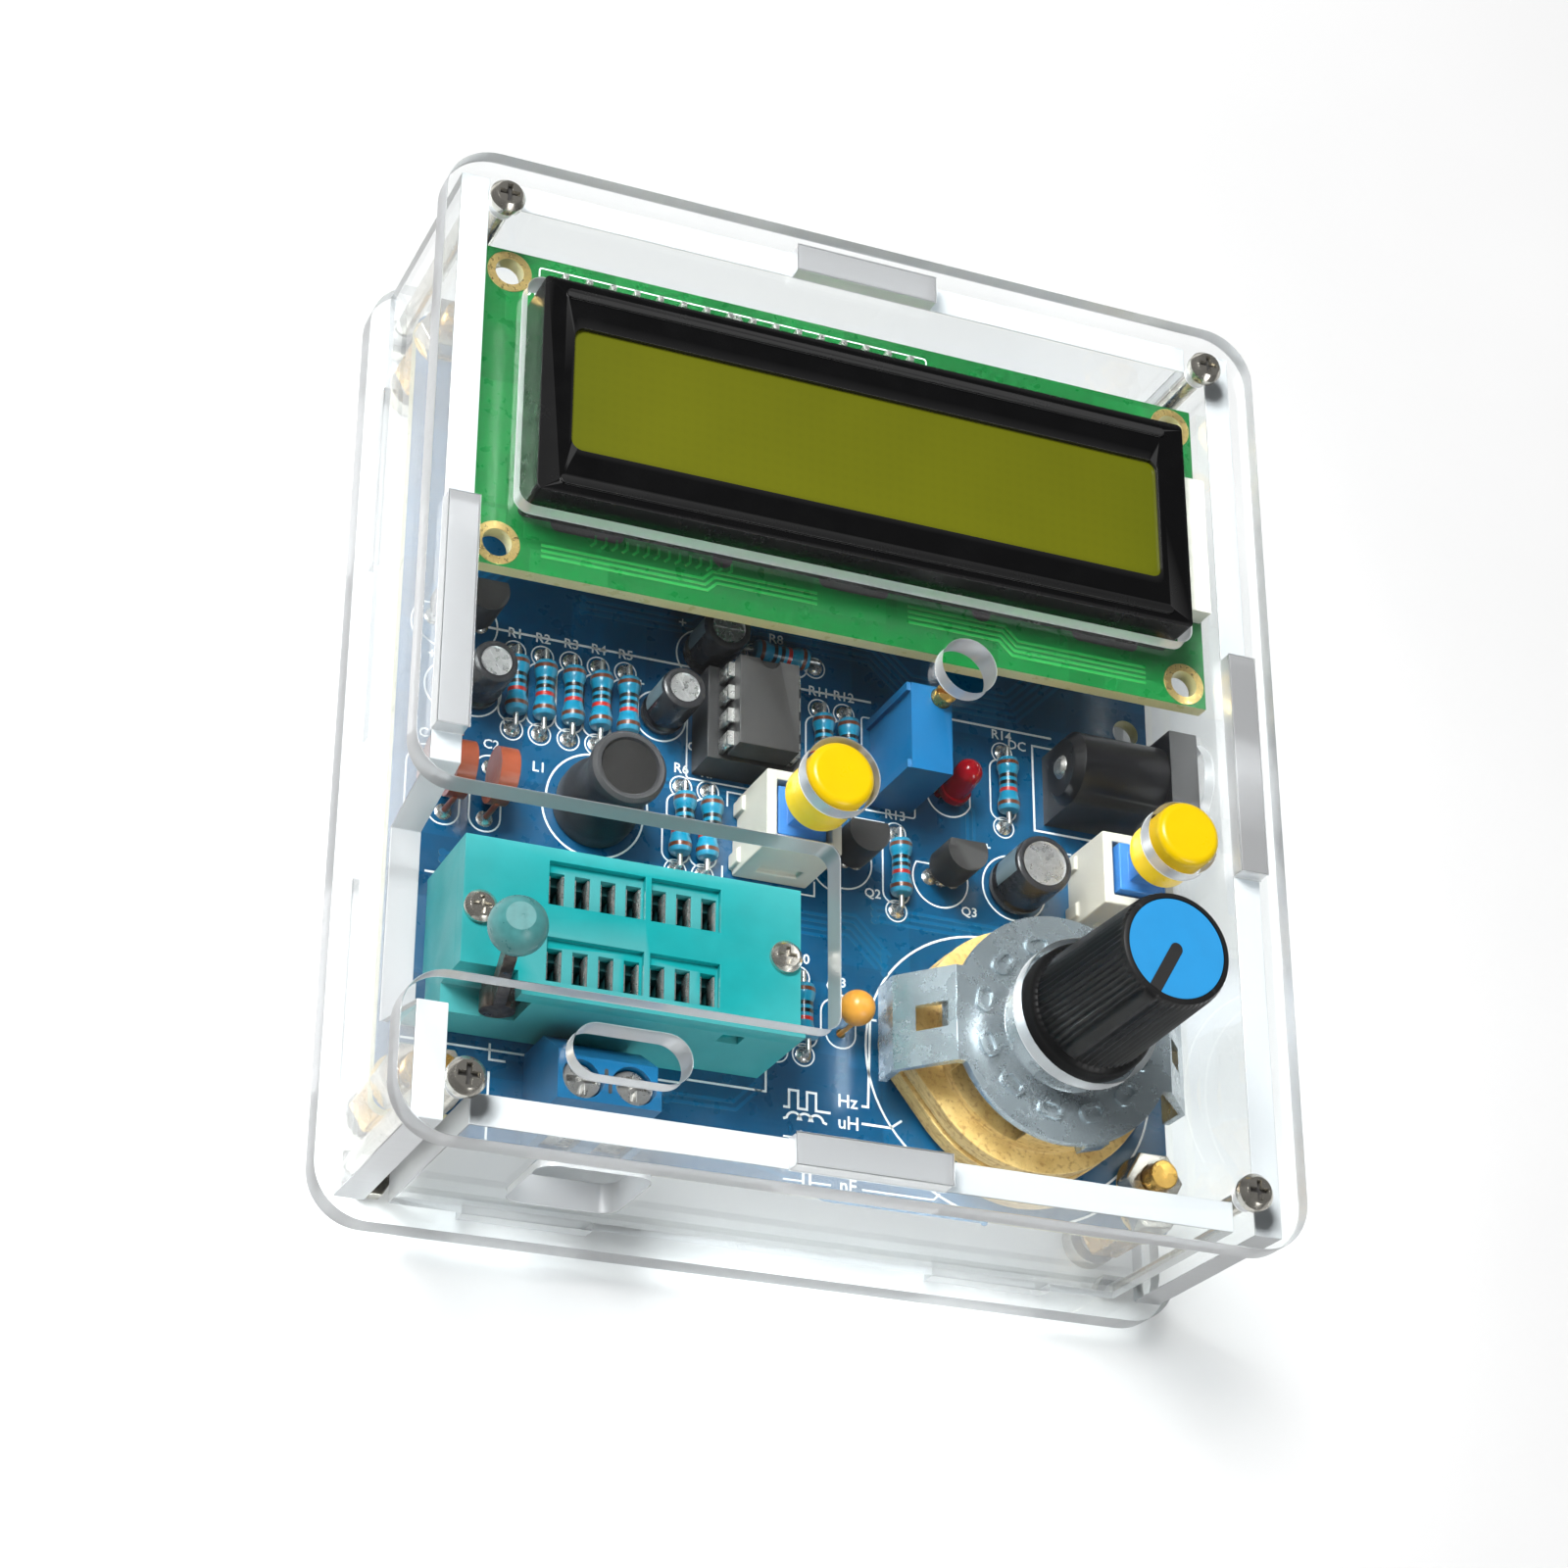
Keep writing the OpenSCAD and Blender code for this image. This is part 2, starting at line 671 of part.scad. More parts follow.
// Oval of the stator: a disc with a rounded lobe at each end
module stator_oval(grow) {
    hull() {
        circle(r = 12.8 + grow, $fn = 72);
        for (s = [-1, 1]) translate([s * 9.8, 0]) circle(r = 5.1 + grow, $fn = 40);
    }
}

module rotary_stator() {
    tray_h = 4.6;
    ring_r = 10.6;
    window_z = tray_h + 1;
    color([0.78, 0.64, 0.35]) at_knob(stator_z) difference() {
        union() {
            linear_extrude(2) stator_oval(0);
            translate([0, 0, 2]) linear_extrude(0.6) stator_oval(-0.6);
            translate([0, 0, 2.6]) linear_extrude(tray_h - 2.6) stator_oval(-0.1);
            cylinder(r = ring_r, h = plate_z - stator_z);
        }
        translate([0, 0, rotor_z - stator_z - 0.4]) cylinder(d = rotor_d + 2 * touch, h = 20);
        translate([0, 0, -over]) cylinder(d = shaft_d + 2 * touch, h = 20);
        // window that shows the rotor, towards the lower left
        rotate(pointer_window) translate([ring_r - 4, -4.6, window_z]) cube([8, 9.2, 20]);
    }
}

module rotary_terminals() {
    color("silver") at_knob(board_z - 1.4) for (i = [0:11]) rotate(15 + i * 30) translate([10.2, 0, 0])
        block([1.2, 0.5, board_t + 1.4 + 0.8], [0, 0, 0]);
}

module rotary_rotor() {
    color([0.2, 0.2, 0.2]) at_knob(rotor_z) difference() {
        cylinder(d = rotor_d, h = rotor_h);
        translate([0, 0, -over]) cylinder(d = shaft_d, h = rotor_h + 2 * over);
    }
}

module rotary_shaft() {
    color([0.75, 0.75, 0.77]) at_knob(rotor_z) difference() {
        cylinder(d = shaft_d, h = knob_top - 2.2 - rotor_z);
        // flat for the knob
        translate([-shaft_d, shaft_d / 2 - 1.4, knob_top - 12 - rotor_z]) cube([2 * shaft_d, shaft_d, 20]);
    }
}

module knob() {
    low = knob_top - knob_h;
    grip = knob_h - skirt_h;
    flute_lean = atan((knob_low_d - knob_high_d) / 2 / grip);
    color([0.1, 0.1, 0.11]) at_knob(low) difference() {
        union() {
            cylinder(d = skirt_d, h = skirt_h);
            translate([0, 0, skirt_h]) cylinder(d1 = knob_low_d, d2 = knob_high_d, h = grip);
            // pointer rib down the side
            rotate(pointer_angle) translate([0, -0.4, skirt_h]) cube([knob_high_d / 2 + 0.35, 0.8, grip]);
        }
        for (i = [0:flutes - 1]) rotate(pointer_angle + (i + 0.5) * 360 / flutes)
            translate([knob_low_d / 2 + 0.1, 0, skirt_h]) rotate([0, -flute_lean, 0])
                cylinder(r = 0.32, h = grip - 1.2, $fn = 16);
        translate([0, 0, -over]) cylinder(d = shaft_d, h = knob_h - 2.2 + over);
        translate([0, 0, -over]) cylinder(d = bush_d + 2 * touch, h = 2.5 + over);
        translate([0, 0, knob_h - 0.8]) cylinder(d = knob_cap_d, h = over + 0.8);
    }
}

module knob_cap() {
    color([0.05, 0.62, 0.86]) at_knob(knob_top - 0.8) difference() {
        cylinder(d = knob_cap_d, h = 0.7);
        rotate(pointer_angle) {
            translate([0, -0.55, 0.35]) cube([knob_cap_d, 1.1, over]);
            translate([0, 0, 0.35]) cylinder(d = 1.1, h = over);
        }
    }
}

// ---- power inlet ----

module dc_jack_body() {
    flange = 3.2;
    barrel = 3.9;
    len = jack_front - jack_back;
    round_end = 0.9;
    color([0.12, 0.12, 0.13]) difference() {
        union() {
            translate([jack_front - flange, jack_y - jack_w / 2, deck_z]) cube([flange, jack_w, jack_h]);
            translate([jack_back + round_end, jack_y - barrel, deck_z])
                cube([len - round_end, 2 * barrel, jack_axis_z - deck_z]);
            translate([jack_back, jack_y, jack_axis_z]) rotate([0, 90, 0]) {
                cylinder(r1 = barrel - round_end, r2 = barrel, h = round_end);
                translate([0, 0, round_end]) cylinder(r = barrel, h = len - round_end);
            }
        }
        translate([jack_front - jack_depth, jack_y, jack_axis_z]) rotate([0, 90, 0])
            cylinder(d = jack_bore_d, h = jack_depth + over);
        translate([jack_back - over, jack_y, jack_axis_z]) rotate([0, 90, 0])
            cylinder(d = jack_rivet_d + 2 * bear, h = len);
    }
}

// Centre pin with the rivet that holds it through the back of the body
module dc_jack_pin() {
    head_t = 0.5;
    tail = jack_front - jack_depth - jack_back;
    color("silver") translate([jack_front - jack_depth, jack_y, jack_axis_z]) rotate([0, 90, 0]) {
        cylinder(d = 4, h = 0.8);
        cylinder(d = 2, h = jack_depth - 1);
        translate([0, 0, -tail]) cylinder(d = jack_rivet_d, h = tail);
        translate([0, 0, -tail - head_t]) cylinder(d1 = 1.6, d2 = 2.6, h = head_t);
    }
}

// ---- trimmer ----

module trimmer_body() {
    end_t = 0.9;
    color([0.1, 0.47, 0.78]) difference() {
        union() {
            block([trim_w, trim_l, 10], [trim_x, trim_y, deck_z]);
            for (s = [-1, 1])
                block([trim_w, end_t, 9.9], [trim_x - 0.45, trim_y + s * (trim_l - end_t) / 2, deck_z]);
        }
        translate([trim_screw_x, trim_screw_y, deck_z + 6]) cylinder(d = trim_screw_d + 2 * bear, h = 10);
    }
}

module trimmer_screw() {
    color("goldenrod") translate([trim_screw_x, trim_screw_y, deck_z + 6.2]) difference() {
        cylinder(d = trim_screw_d, h = 5.3);
        translate([-2, -0.25, 4.6]) cube([4, 0.5, 2]);
    }
}

// ---- chips ----

// Row of legs on both sides of a chip or socket centred on x = y = 0, long axis along x or y
module leg_rows(count, span, size, z) {
    for (s = [-1, 1], i = [0:count / 2 - 1])
        block(size, [(i - (count / 2 - 1) / 2) * pin_pitch, s * span / 2, z]);
}

module dip_socket(count) {
    len = count / 2 * pin_pitch;
    difference() {
        block([len, 10.1, 4.4], [0, 0, 0]);
        block([len - 3, 4.6, 10], [0, 0, -over]);
    }
}

module dip_chip(count) {
    len = count / 2 * pin_pitch - 0.4;
    difference() {
        block([len, 6.4, 3.3], [0, 0, 0.6]);
        translate([-len / 2, 0, 3.5]) cylinder(r = 1, h = 1);
    }
    leg_rows(count, 7.3, [1.4, 0.4, 2.4], 0);
    leg_rows(count, 6.8, [1.4, 0.8, 0.3], 2.1);
}

module at_main_chip(z) {
    translate([-5, 25, z]) children();
}

module at_small_chip(z) {
    translate([-7, 1, z]) rotate(-90) children();
}

module main_chip_socket() {
    color([0.1, 0.1, 0.11]) at_main_chip(deck_z) dip_socket(28);
}

module main_chip() {
    color([0.16, 0.16, 0.17]) at_main_chip(deck_z + 4.4) dip_chip(28);
}

module small_chip_socket() {
    color([0.1, 0.1, 0.11]) at_small_chip(deck_z) dip_socket(8);
}

module small_chip() {
    color([0.16, 0.16, 0.17]) at_small_chip(deck_z + 4.4) dip_chip(8);
}

// ---- small parts on the board ----

module each_resistor() {
    for (r = resistors) translate([r[0], r[1], resistor_z]) rotate([0, 0, r[2]]) children();
}

module resistor_bodies() {
    end_len = 1.5;
    color([0.12, 0.55, 0.72]) each_resistor() rotate([0, 90, 0]) {
        cylinder(d = 1.9, h = resistor_len - 2, center = true);
        for (s = [-1, 1]) translate([0, 0, s * (resistor_len - end_len) / 2])
            cylinder(d = 2.4, h = end_len, center = true);
    }
}

module resistor_leads() {
    wire = 0.55;
    stub = (resistor_span - resistor_len) / 2;
    color("silver") each_resistor() for (s = [-1, 1]) {
        translate([s * (resistor_len + stub) / 2, 0, 0]) rotate([0, 90, 0])
            cylinder(d = wire, h = stub, center = true);
        translate([s * resistor_span / 2, 0, 0]) sphere(d = wire);
        translate([s * resistor_span / 2, 0, board_z - 1 - resistor_z])
            cylinder(d = wire, h = resistor_z - board_z + 1);
    }
}

module can(d, h) {
    rotate_extrude() polygon([[0, 0], [d / 2, 0], [d / 2, 0.9], [d / 2 - 0.25, 1.2], [d / 2, 1.5],
        [d / 2, h - 0.4], [d / 2 - 0.4, h], [0, h]]);
}

module electrolytic_capacitors() {
    color([0.12, 0.12, 0.16]) {
        for (c = cans) translate([c[0], c[1], deck_z]) can(c[2], 7);
    }
}

module ceramic_capacitors() {
    color([0.72, 0.3, 0.12]) for (x = ceramic_x) translate([x, ceramic_y, 0]) {
        translate([-ceramic_t / 2, 0, deck_z + 4.2]) rotate([0, 90, 0]) cylinder(d = 5.2, h = ceramic_t);
        for (s = [-1, 1]) translate([0, s * 2.5, board_z - 1]) cylinder(d = 0.6, h = board_t + 5);
    }
}

module yellow_capacitor() {
    color([0.9, 0.55, 0.1]) translate([yellow_at[0], yellow_at[1], 0]) {
        translate([0, 0, deck_z + 4]) sphere(d = 3.6);
        for (s = [-1, 1]) translate([0, s * 1.27, board_z - 1]) cylinder(d = 0.5, h = board_t + 4.4);
    }
}

module inductor() {
    choke_d = 8.6;
    choke_h = 9.5;
    rim = 1.2;
    color([0.2, 0.2, 0.22]) translate([-21.9, -9.2, deck_z]) rotate_extrude()
        polygon([[0, 0], [choke_d / 2, 0], [choke_d / 2, choke_h - 0.7], [choke_d / 2 - 0.5, choke_h],
            [choke_d / 2 - rim, choke_h], [choke_d / 2 - rim, choke_h - 0.3], [0, choke_h - 0.3]]);
}

module transistors() {
    color([0.16, 0.16, 0.17]) for (t = transistor_at) translate([t[0], t[1], deck_z + 2]) {
        difference() {
            cylinder(d = 4.4, h = 4.6);
            translate([-4, 1.1, -over]) cube([8, 4, 7]);
        }
        for (i = [-1, 0, 1]) block([0.5, 0.45, board_t + 3.4], [i * 1.27, 0, -board_t - 3]);
    }
}

module led() {
    lens_d = 2.9;
    lens_h = 3.7;
    color([0.75, 0.1, 0.15]) translate([led_at[0], led_at[1], 0]) {
        // the lens leans back on its legs
        translate([0, 0, deck_z + 0.9]) rotate([-led_lean, 0, 0]) {
            cylinder(d = lens_d + 0.5, h = 0.8);
            cylinder(d = lens_d, h = lens_h);
            translate([0, 0, lens_h]) sphere(d = lens_d);
        }
        for (s = [-1, 1]) block([0.5, 0.5, board_t + 2.5], [s * 1.27, 0, board_z - 1]);
    }
}

module crystal() {
    color("silver") translate([crystal_at[0], crystal_at[1], deck_z]) {
        translate([-3.4, 0, 0.5]) cylinder(d = 4.2, h = 3.2);
        translate([3.4, 0, 0.5]) cylinder(d = 4.2, h = 3.2);
        block([6.8, 4.2, 3.2], [0, 0, 0.5]);
        for (s = [-1, 1]) translate([s * 2.44, 0, -board_t - 1]) cylinder(d = 0.5, h = board_t + 2);
    }
}

// ---- screw terminal ----

module terminal_block() {
    color([0.05, 0.48, 0.75]) difference() {
        translate([term_x - term_pitch, 0, 0]) rotate([90, 0, 90]) linear_extrude(2 * term_pitch)
            polygon([[term_front, deck_z], [term_back, deck_z], [term_back, deck_z + 5.4],
                [-39.2, deck_z + term_h], [term_front, deck_z + term_h]]);
        for (s = [-1, 1]) translate([term_x + s * term_pitch / 2, term_y, 0]) {
            // screw well, clamp chamber and wire entry
            translate([0, 0, deck_z + 7.2]) cylinder(d = 4.1, h = 10);
            translate([0, 0, deck_z + 5]) cylinder(d = wire_d, h = 10);
            block([3.9, 3.9, 5.3], [0, 0, deck_z + 1]);
            translate([-wire_d / 2, -8, deck_z + 1.2]) cube([wire_d, 8, 4.6]);
        }
    }
}

module terminal_screw(s) {
    color("silver") translate([term_x + s * term_pitch / 2, term_y, deck_z + 7.3]) {
        difference() {
            cylinder(d = 3.8, h = 1.9);
            translate([0, 0, 1.9]) cross_slot(2.8, 0.9, 0.6);
        }
        translate([0, 0, -screw_len]) cylinder(d = term_screw_d, h = screw_len);
    }
}

module terminal_clamp(s) {
    color("silver") translate([term_x + s * term_pitch / 2, term_y, deck_z + 1.2]) difference() {
        block([clamp_w, clamp_w, clamp_h], [0, 0, 0]);
        translate([0, 0, 0.7]) cylinder(d = term_screw_d + 2 * bear, h = clamp_h);
    }
}

module terminal_screw_left() { terminal_screw(-1); }
module terminal_screw_right() { terminal_screw(1); }
module terminal_clamp_left() { terminal_clamp(-1); }
module terminal_clamp_right() { terminal_clamp(1); }

front_panel();
rear_panel();
left_wall();
right_wall();
top_wall();
bottom_wall();
case_screws();
case_nuts();
board_standoffs();
board_nuts();
board_screws();
main_board();
lcd_board();
lcd_bezel();
lcd_glass();
lcd_backlight();
lcd_header_pins();
lcd_header_socket();
zif_base();
zif_cover();
zif_slider();
zif_contacts();
zif_lever();
zif_lever_ball();
zif_screws();
left_switch_body();
left_switch_plunger();
left_button_cap();
right_switch_body();
right_switch_plunger();
right_button_cap();
rotary_plate();
rotary_stator();
rotary_terminals();
rotary_rotor();
rotary_shaft();
knob();
knob_cap();
dc_jack_body();
dc_jack_pin();
trimmer_body();
trimmer_screw();
main_chip_socket();
main_chip();
small_chip_socket();
small_chip();
resistor_bodies();
resistor_leads();
electrolytic_capacitors();
ceramic_capacitors();
yellow_capacitor();
inductor();
transistors();
led();
crystal();
terminal_block();
terminal_screw_left();
terminal_screw_right();
terminal_clamp_left();
terminal_clamp_right();
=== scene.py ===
import math

import bmesh
import bpy
from mathutils import Matrix, Vector


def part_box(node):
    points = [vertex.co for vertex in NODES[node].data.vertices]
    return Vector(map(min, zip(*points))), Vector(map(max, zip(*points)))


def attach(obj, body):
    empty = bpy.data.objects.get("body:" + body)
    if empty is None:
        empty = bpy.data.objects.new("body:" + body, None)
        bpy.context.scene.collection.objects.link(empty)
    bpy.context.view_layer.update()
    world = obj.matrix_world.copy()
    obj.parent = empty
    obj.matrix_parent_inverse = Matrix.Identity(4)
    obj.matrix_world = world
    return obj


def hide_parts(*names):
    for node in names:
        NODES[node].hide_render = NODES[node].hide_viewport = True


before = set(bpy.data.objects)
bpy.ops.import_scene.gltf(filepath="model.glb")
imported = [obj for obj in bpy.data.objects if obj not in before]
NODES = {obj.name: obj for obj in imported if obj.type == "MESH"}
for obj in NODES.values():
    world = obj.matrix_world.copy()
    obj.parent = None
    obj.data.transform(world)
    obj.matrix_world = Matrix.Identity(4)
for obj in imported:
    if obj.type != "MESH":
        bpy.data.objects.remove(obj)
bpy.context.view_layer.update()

# Pieces are built in millimetres in the CAD frame, and scaled to metres when they are made.
# The camera and the lights are placed in metres.
MM = 0.001
EDGE_ANGLE = math.radians(35)
FLAT_ANGLE = math.radians(0.2)     # triangles of one flat face are within this
PIN_PITCH = 2.54
CHIP_ROWS = 7.62     # between the two rows of legs of a chip


def box(node):
    """Lowest and highest corner of a CAD node, in millimetres."""
    low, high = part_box(node)
    return low / MM, high / MM


def middle(node):
    """Middle of a CAD node's box, in millimetres."""
    low, high = box(node)
    return (low + high) / 2


def solids(node):
    """Boxes of the separate solids in a CAD node, in millimetres, from left to right."""
    mesh = NODES[node].data
    place = {}
    same = [place.setdefault(tuple(round(c, 7) for c in v.co), v.index) for v in mesh.vertices]
    parent = {i: i for i in set(same)}

    def root(i):
        while parent[i] != i:
            parent[i] = parent[parent[i]]
            i = parent[i]
        return i

    for polygon in mesh.polygons:
        first = root(same[polygon.vertices[0]])
        for v in polygon.vertices[1:]:
            parent[root(same[v])] = first
    groups = {}
    for i in parent:
        groups.setdefault(root(i), []).append(mesh.vertices[i].co / MM)
    boxes = []
    for points in groups.values():
        low = Vector([min(p[k] for p in points) for k in range(3)])
        high = Vector([max(p[k] for p in points) for k in range(3)])
        boxes.append((low, high))
    return sorted(boxes, key=lambda b: (round(b[0].x, 2), round(b[0].y, 2)))


DECK = box("main_board")[1].z
UNDERSIDE = box("main_board")[0].z
DISPLAY_DECK = box("lcd_board")[1].z
HAIR = 0.02      # how far a printed line stands off what it is printed on


# ---------------------------------------------------------------- materials

def srgb(red, green, blue):
    """Linear colour of an 0 to 255 display colour."""
    def one(value):
        value /= 255
        return value / 12.92 if value <= 0.04045 else ((value + 0.055) / 1.055) ** 2.4
    return (one(red), one(green), one(blue), 1.0)


def shade(colour, factor):
    """The colour made lighter or darker."""
    return tuple(min(1.0, c * factor) for c in colour[:3]) + (1.0,)


class Shader:
    """A node material: add() makes a node and gives its sockets a value or a link."""

    def __init__(self, name):
        self.material = bpy.data.materials.new(name)
        self.material.use_nodes = True
        self.tree = self.material.node_tree
        self.surface = self.tree.nodes["Principled BSDF"]
        coordinates = self.add("ShaderNodeTexCoord")
        self.place = coordinates.outputs["Object"]
        self.facing = coordinates.outputs["Normal"]

    def put(self, socket, value):
        if isinstance(value, bpy.types.NodeSocket):
            self.tree.links.new(value, socket)
        else:
            socket.default_value = value

    def add(self, kind, settings=None, **sockets):
        node = self.tree.nodes.new(kind)
        for key, value in (settings or {}).items():
            setattr(node, key, value)
        for key, value in sockets.items():
            self.put(node.inputs[key.replace("_", " ")], value)
        return node

    def set(self, **sockets):
        for key, value in sockets.items():
            self.put(self.surface.inputs[key.replace("_", " ")], value)

    def noise(self, size, detail=2.0, stretch=None):
        """Noise whose lumps are about size millimetres across."""
        place = self.place
        if stretch:
            place = self.add("ShaderNodeMapping", Vector=place, Scale=stretch).outputs["Vector"]
        node = self.add("ShaderNodeTexNoise", Vector=place, Scale=1 / (size * MM), Detail=detail)
        return node.outputs["Fac"]

    def bands(self, size):
        """Wavy bands across X and across Y, each about a third of size millimetres apart."""
        return [self.add("ShaderNodeTexWave", {"bands_direction": way}, Vector=self.place,
                         Scale=1 / (size * MM)).outputs["Fac"] for way in "XY"]

    def range(self, value, low, high, to_low, to_high):
        """Maps low to high onto to_low to to_high."""
        node = self.add("ShaderNodeMapRange", Value=value)
        for key, number in (("From Min", low), ("From Max", high), ("To Min", to_low), ("To Max", to_high)):
            self.put(node.inputs[key], number)
        return node.outputs["Result"]

    def sum(self, operation, a, b=0.0):
        node = self.add("ShaderNodeMath", {"operation": operation})
        self.put(node.inputs[0], a)
        self.put(node.inputs[1], b)
        return node.outputs[0]

    def tint(self, amount, a, b):
        """Mixes colour a with colour b by amount."""
        node = self.add("ShaderNodeMix", {"data_type": "RGBA"})
        self.put(node.inputs[0], amount)
        self.put(node.inputs[6], a)
        self.put(node.inputs[7], b)
        return node.outputs[2]

    def bump(self, height, depth):
        """Relief of depth millimetres over the heights 0 to 1."""
        node = self.add("ShaderNodeBump", Height=height, Strength=1.0, Distance=depth * MM)
        self.set(Normal=node.outputs["Normal"])

    def worn(self):
        """1 along convex edges, 0 elsewhere."""
        pointed = self.add("ShaderNodeNewGeometry").outputs["Pointiness"]
        return self.range(pointed, 0.52, 0.6, 0.0, 1.0)


def moulded(name, colour, rough=0.35, grain=0.12, depth=0.006, vary=0.12, wear=0.25, coat=0.0):
    """Moulded plastic: fine spark-eroded grain, faint flow marks, lighter edges."""
    s = Shader(name)
    flow = s.noise(2.6, 3, (1.0, 1.0, 0.5))
    fine = s.noise(grain, 3)
    base = s.tint(s.range(flow, 0.3, 0.7, 0, 1), shade(colour, 1 - vary), shade(colour, 1 + vary))
    pale = tuple(c + (1 - c) * 0.18 for c in colour[:3]) + (1.0,)
    s.set(Base_Color=s.tint(s.sum("MULTIPLY", s.worn(), wear), base, pale))
    smudge = s.sum("ADD", s.noise(4.0, 4), s.sum("MULTIPLY", fine, 0.3))
    s.set(Roughness=s.range(smudge, 0.35, 0.95, rough * 0.75, rough * 1.35))
    s.set(Coat_Weight=coat, Coat_Roughness=0.12, Specular_IOR_Level=0.32)
    s.bump(fine, depth)
    return s.material


def metal(name, colour, rough=0.25, blotch=1.2, grain=0.1, depth=0.002, stretch=None, vary=0.2, body=0.12):
    """Plated metal: cloudy plating and tool marks, rougher in patches. body is the share that is dull."""
    s = Shader(name)
    cloud = s.range(s.noise(blotch, 4), 0.35, 0.68, 0, 1)
    marks = s.noise(grain, 3, stretch)
    s.set(Base_Color=s.tint(cloud, shade(colour, 1 - vary), shade(colour, 1 + vary * 0.6)))
    film = s.sum("ADD", cloud, marks)
    s.set(Metallic=1.0 - body, Roughness=s.range(film, 0.3, 1.5, rough * 1.5, rough * 0.7))
    s.bump(marks, depth)
    return s.material


def clear_sheet(name, through):
    """Clear sheet whose faces look along axis number through. Its cut edges are frosted.

    A ray towards a lamp goes straight through, so that the sheet casts only a faint shadow.
    """
    s = Shader(name)
    split = s.add("ShaderNodeSeparateXYZ", Vector=s.facing)
    along = s.sum("ABSOLUTE", split.outputs[through])
    edge = s.range(along, 0.86, 0.97, 1.0, 0.0)
    stretch = [1.0, 1.0, 1.0]
    stretch[through] = 0.06
    lines = s.noise(0.5, 2, tuple(stretch))
    blend = s.add("ShaderNodeMix", Factor=edge)
    s.put(blend.inputs[2], s.range(s.noise(9.0, 4), 0.4, 0.75, 0.0, 0.02))
    s.put(blend.inputs[3], s.range(lines, 0.3, 0.7, 0.28, 0.36))
    s.set(Roughness=blend.outputs[0])
    s.set(Base_Color=s.tint(edge, (0.975, 0.99, 0.99, 1), (0.6, 0.61, 0.62, 1)))
    s.set(Transmission_Weight=s.range(edge, 0, 1, 1.0, 0.42), IOR=1.49, Specular_IOR_Level=0.5)
    s.bump(s.sum("MULTIPLY", lines, edge), 0.002)
    lamp = s.add("ShaderNodeLightPath").outputs["Is Shadow Ray"]
    dimmed = s.tint(edge, (0.95, 0.96, 0.96, 1), (0.7, 0.72, 0.73, 1))
    open_way = s.add("ShaderNodeBsdfTransparent", Color=dimmed)
    both = s.add("ShaderNodeMixShader", Fac=lamp)
    s.put(both.inputs[1], s.surface.outputs[0])
    s.put(both.inputs[2], open_way.outputs[0])
    s.put(s.tree.nodes["Material Output"].inputs["Surface"], both.outputs[0])
    return s.material


def lacquered_board(name, colour, copper):
    """Solder lacquer over glass cloth: a faint weave, and wide copper areas that show paler."""
    s = Shader(name)
    split = s.add("ShaderNodeSeparateXYZ", Vector=s.facing)
    rim = s.range(s.sum("ABSOLUTE", split.outputs[2]), 0.5, 0.8, 1.0, 0.0)
    areas = s.add("ShaderNodeTexVoronoi", {"feature": "F1", "distance": "CHEBYCHEV"}, Vector=s.place,
                  Scale=1 / (11 * MM))
    pour = s.range(areas.outputs["Distance"], 0.36, 0.37, 1.0, 0.0)
    cloth = s.sum("ADD", *s.bands(2.1))
    base = s.tint(s.sum("MULTIPLY", pour, 0.45), colour, copper)
    base = s.tint(s.range(s.noise(6, 3), 0.3, 0.7, 0, 0.25), base, shade(colour, 0.7))
    s.set(Base_Color=s.tint(rim, base, srgb(196, 190, 140)))
    s.set(Roughness=s.range(s.noise(1.5, 4), 0.3, 0.7, 0.24, 0.4), Coat_Weight=0.3, Coat_Roughness=0.15)
    s.bump(s.sum("ADD", s.sum("MULTIPLY", cloth, 0.25), pour), 0.012)
    return s.material


def printed_ink(name, colour):
    """Screen-printed ink with a fine, patchy grain."""
    s = Shader(name)
    grain = s.noise(0.12, 2)
    s.set(Base_Color=s.tint(s.range(grain, 0.4, 0.7, 0, 0.5), colour, shade(colour, 0.72)))
    s.set(Roughness=0.55)
    s.bump(grain, 0.01)
    return s.material


def phenolic(name):
    """Pressed paper laminate: brown flecks and a layered rim."""
    s = Shader(name)
    layers = s.noise(0.35, 3, (0.12, 0.12, 1.0))
    flecks = s.range(s.noise(0.5, 5), 0.52, 0.68, 0, 0.6)
    base = s.tint(s.range(layers, 0.35, 0.65, 0, 1), srgb(196, 160, 92), srgb(226, 196, 128))
    s.set(Base_Color=s.tint(flecks, base, srgb(150, 108, 52)))
    s.set(Roughness=s.range(flecks, 0, 0.6, 0.32, 0.5), Coat_Weight=0.15, Coat_Roughness=0.3)
    s.bump(s.sum("ADD", layers, s.noise(0.2, 2)), 0.02)
    return s.material


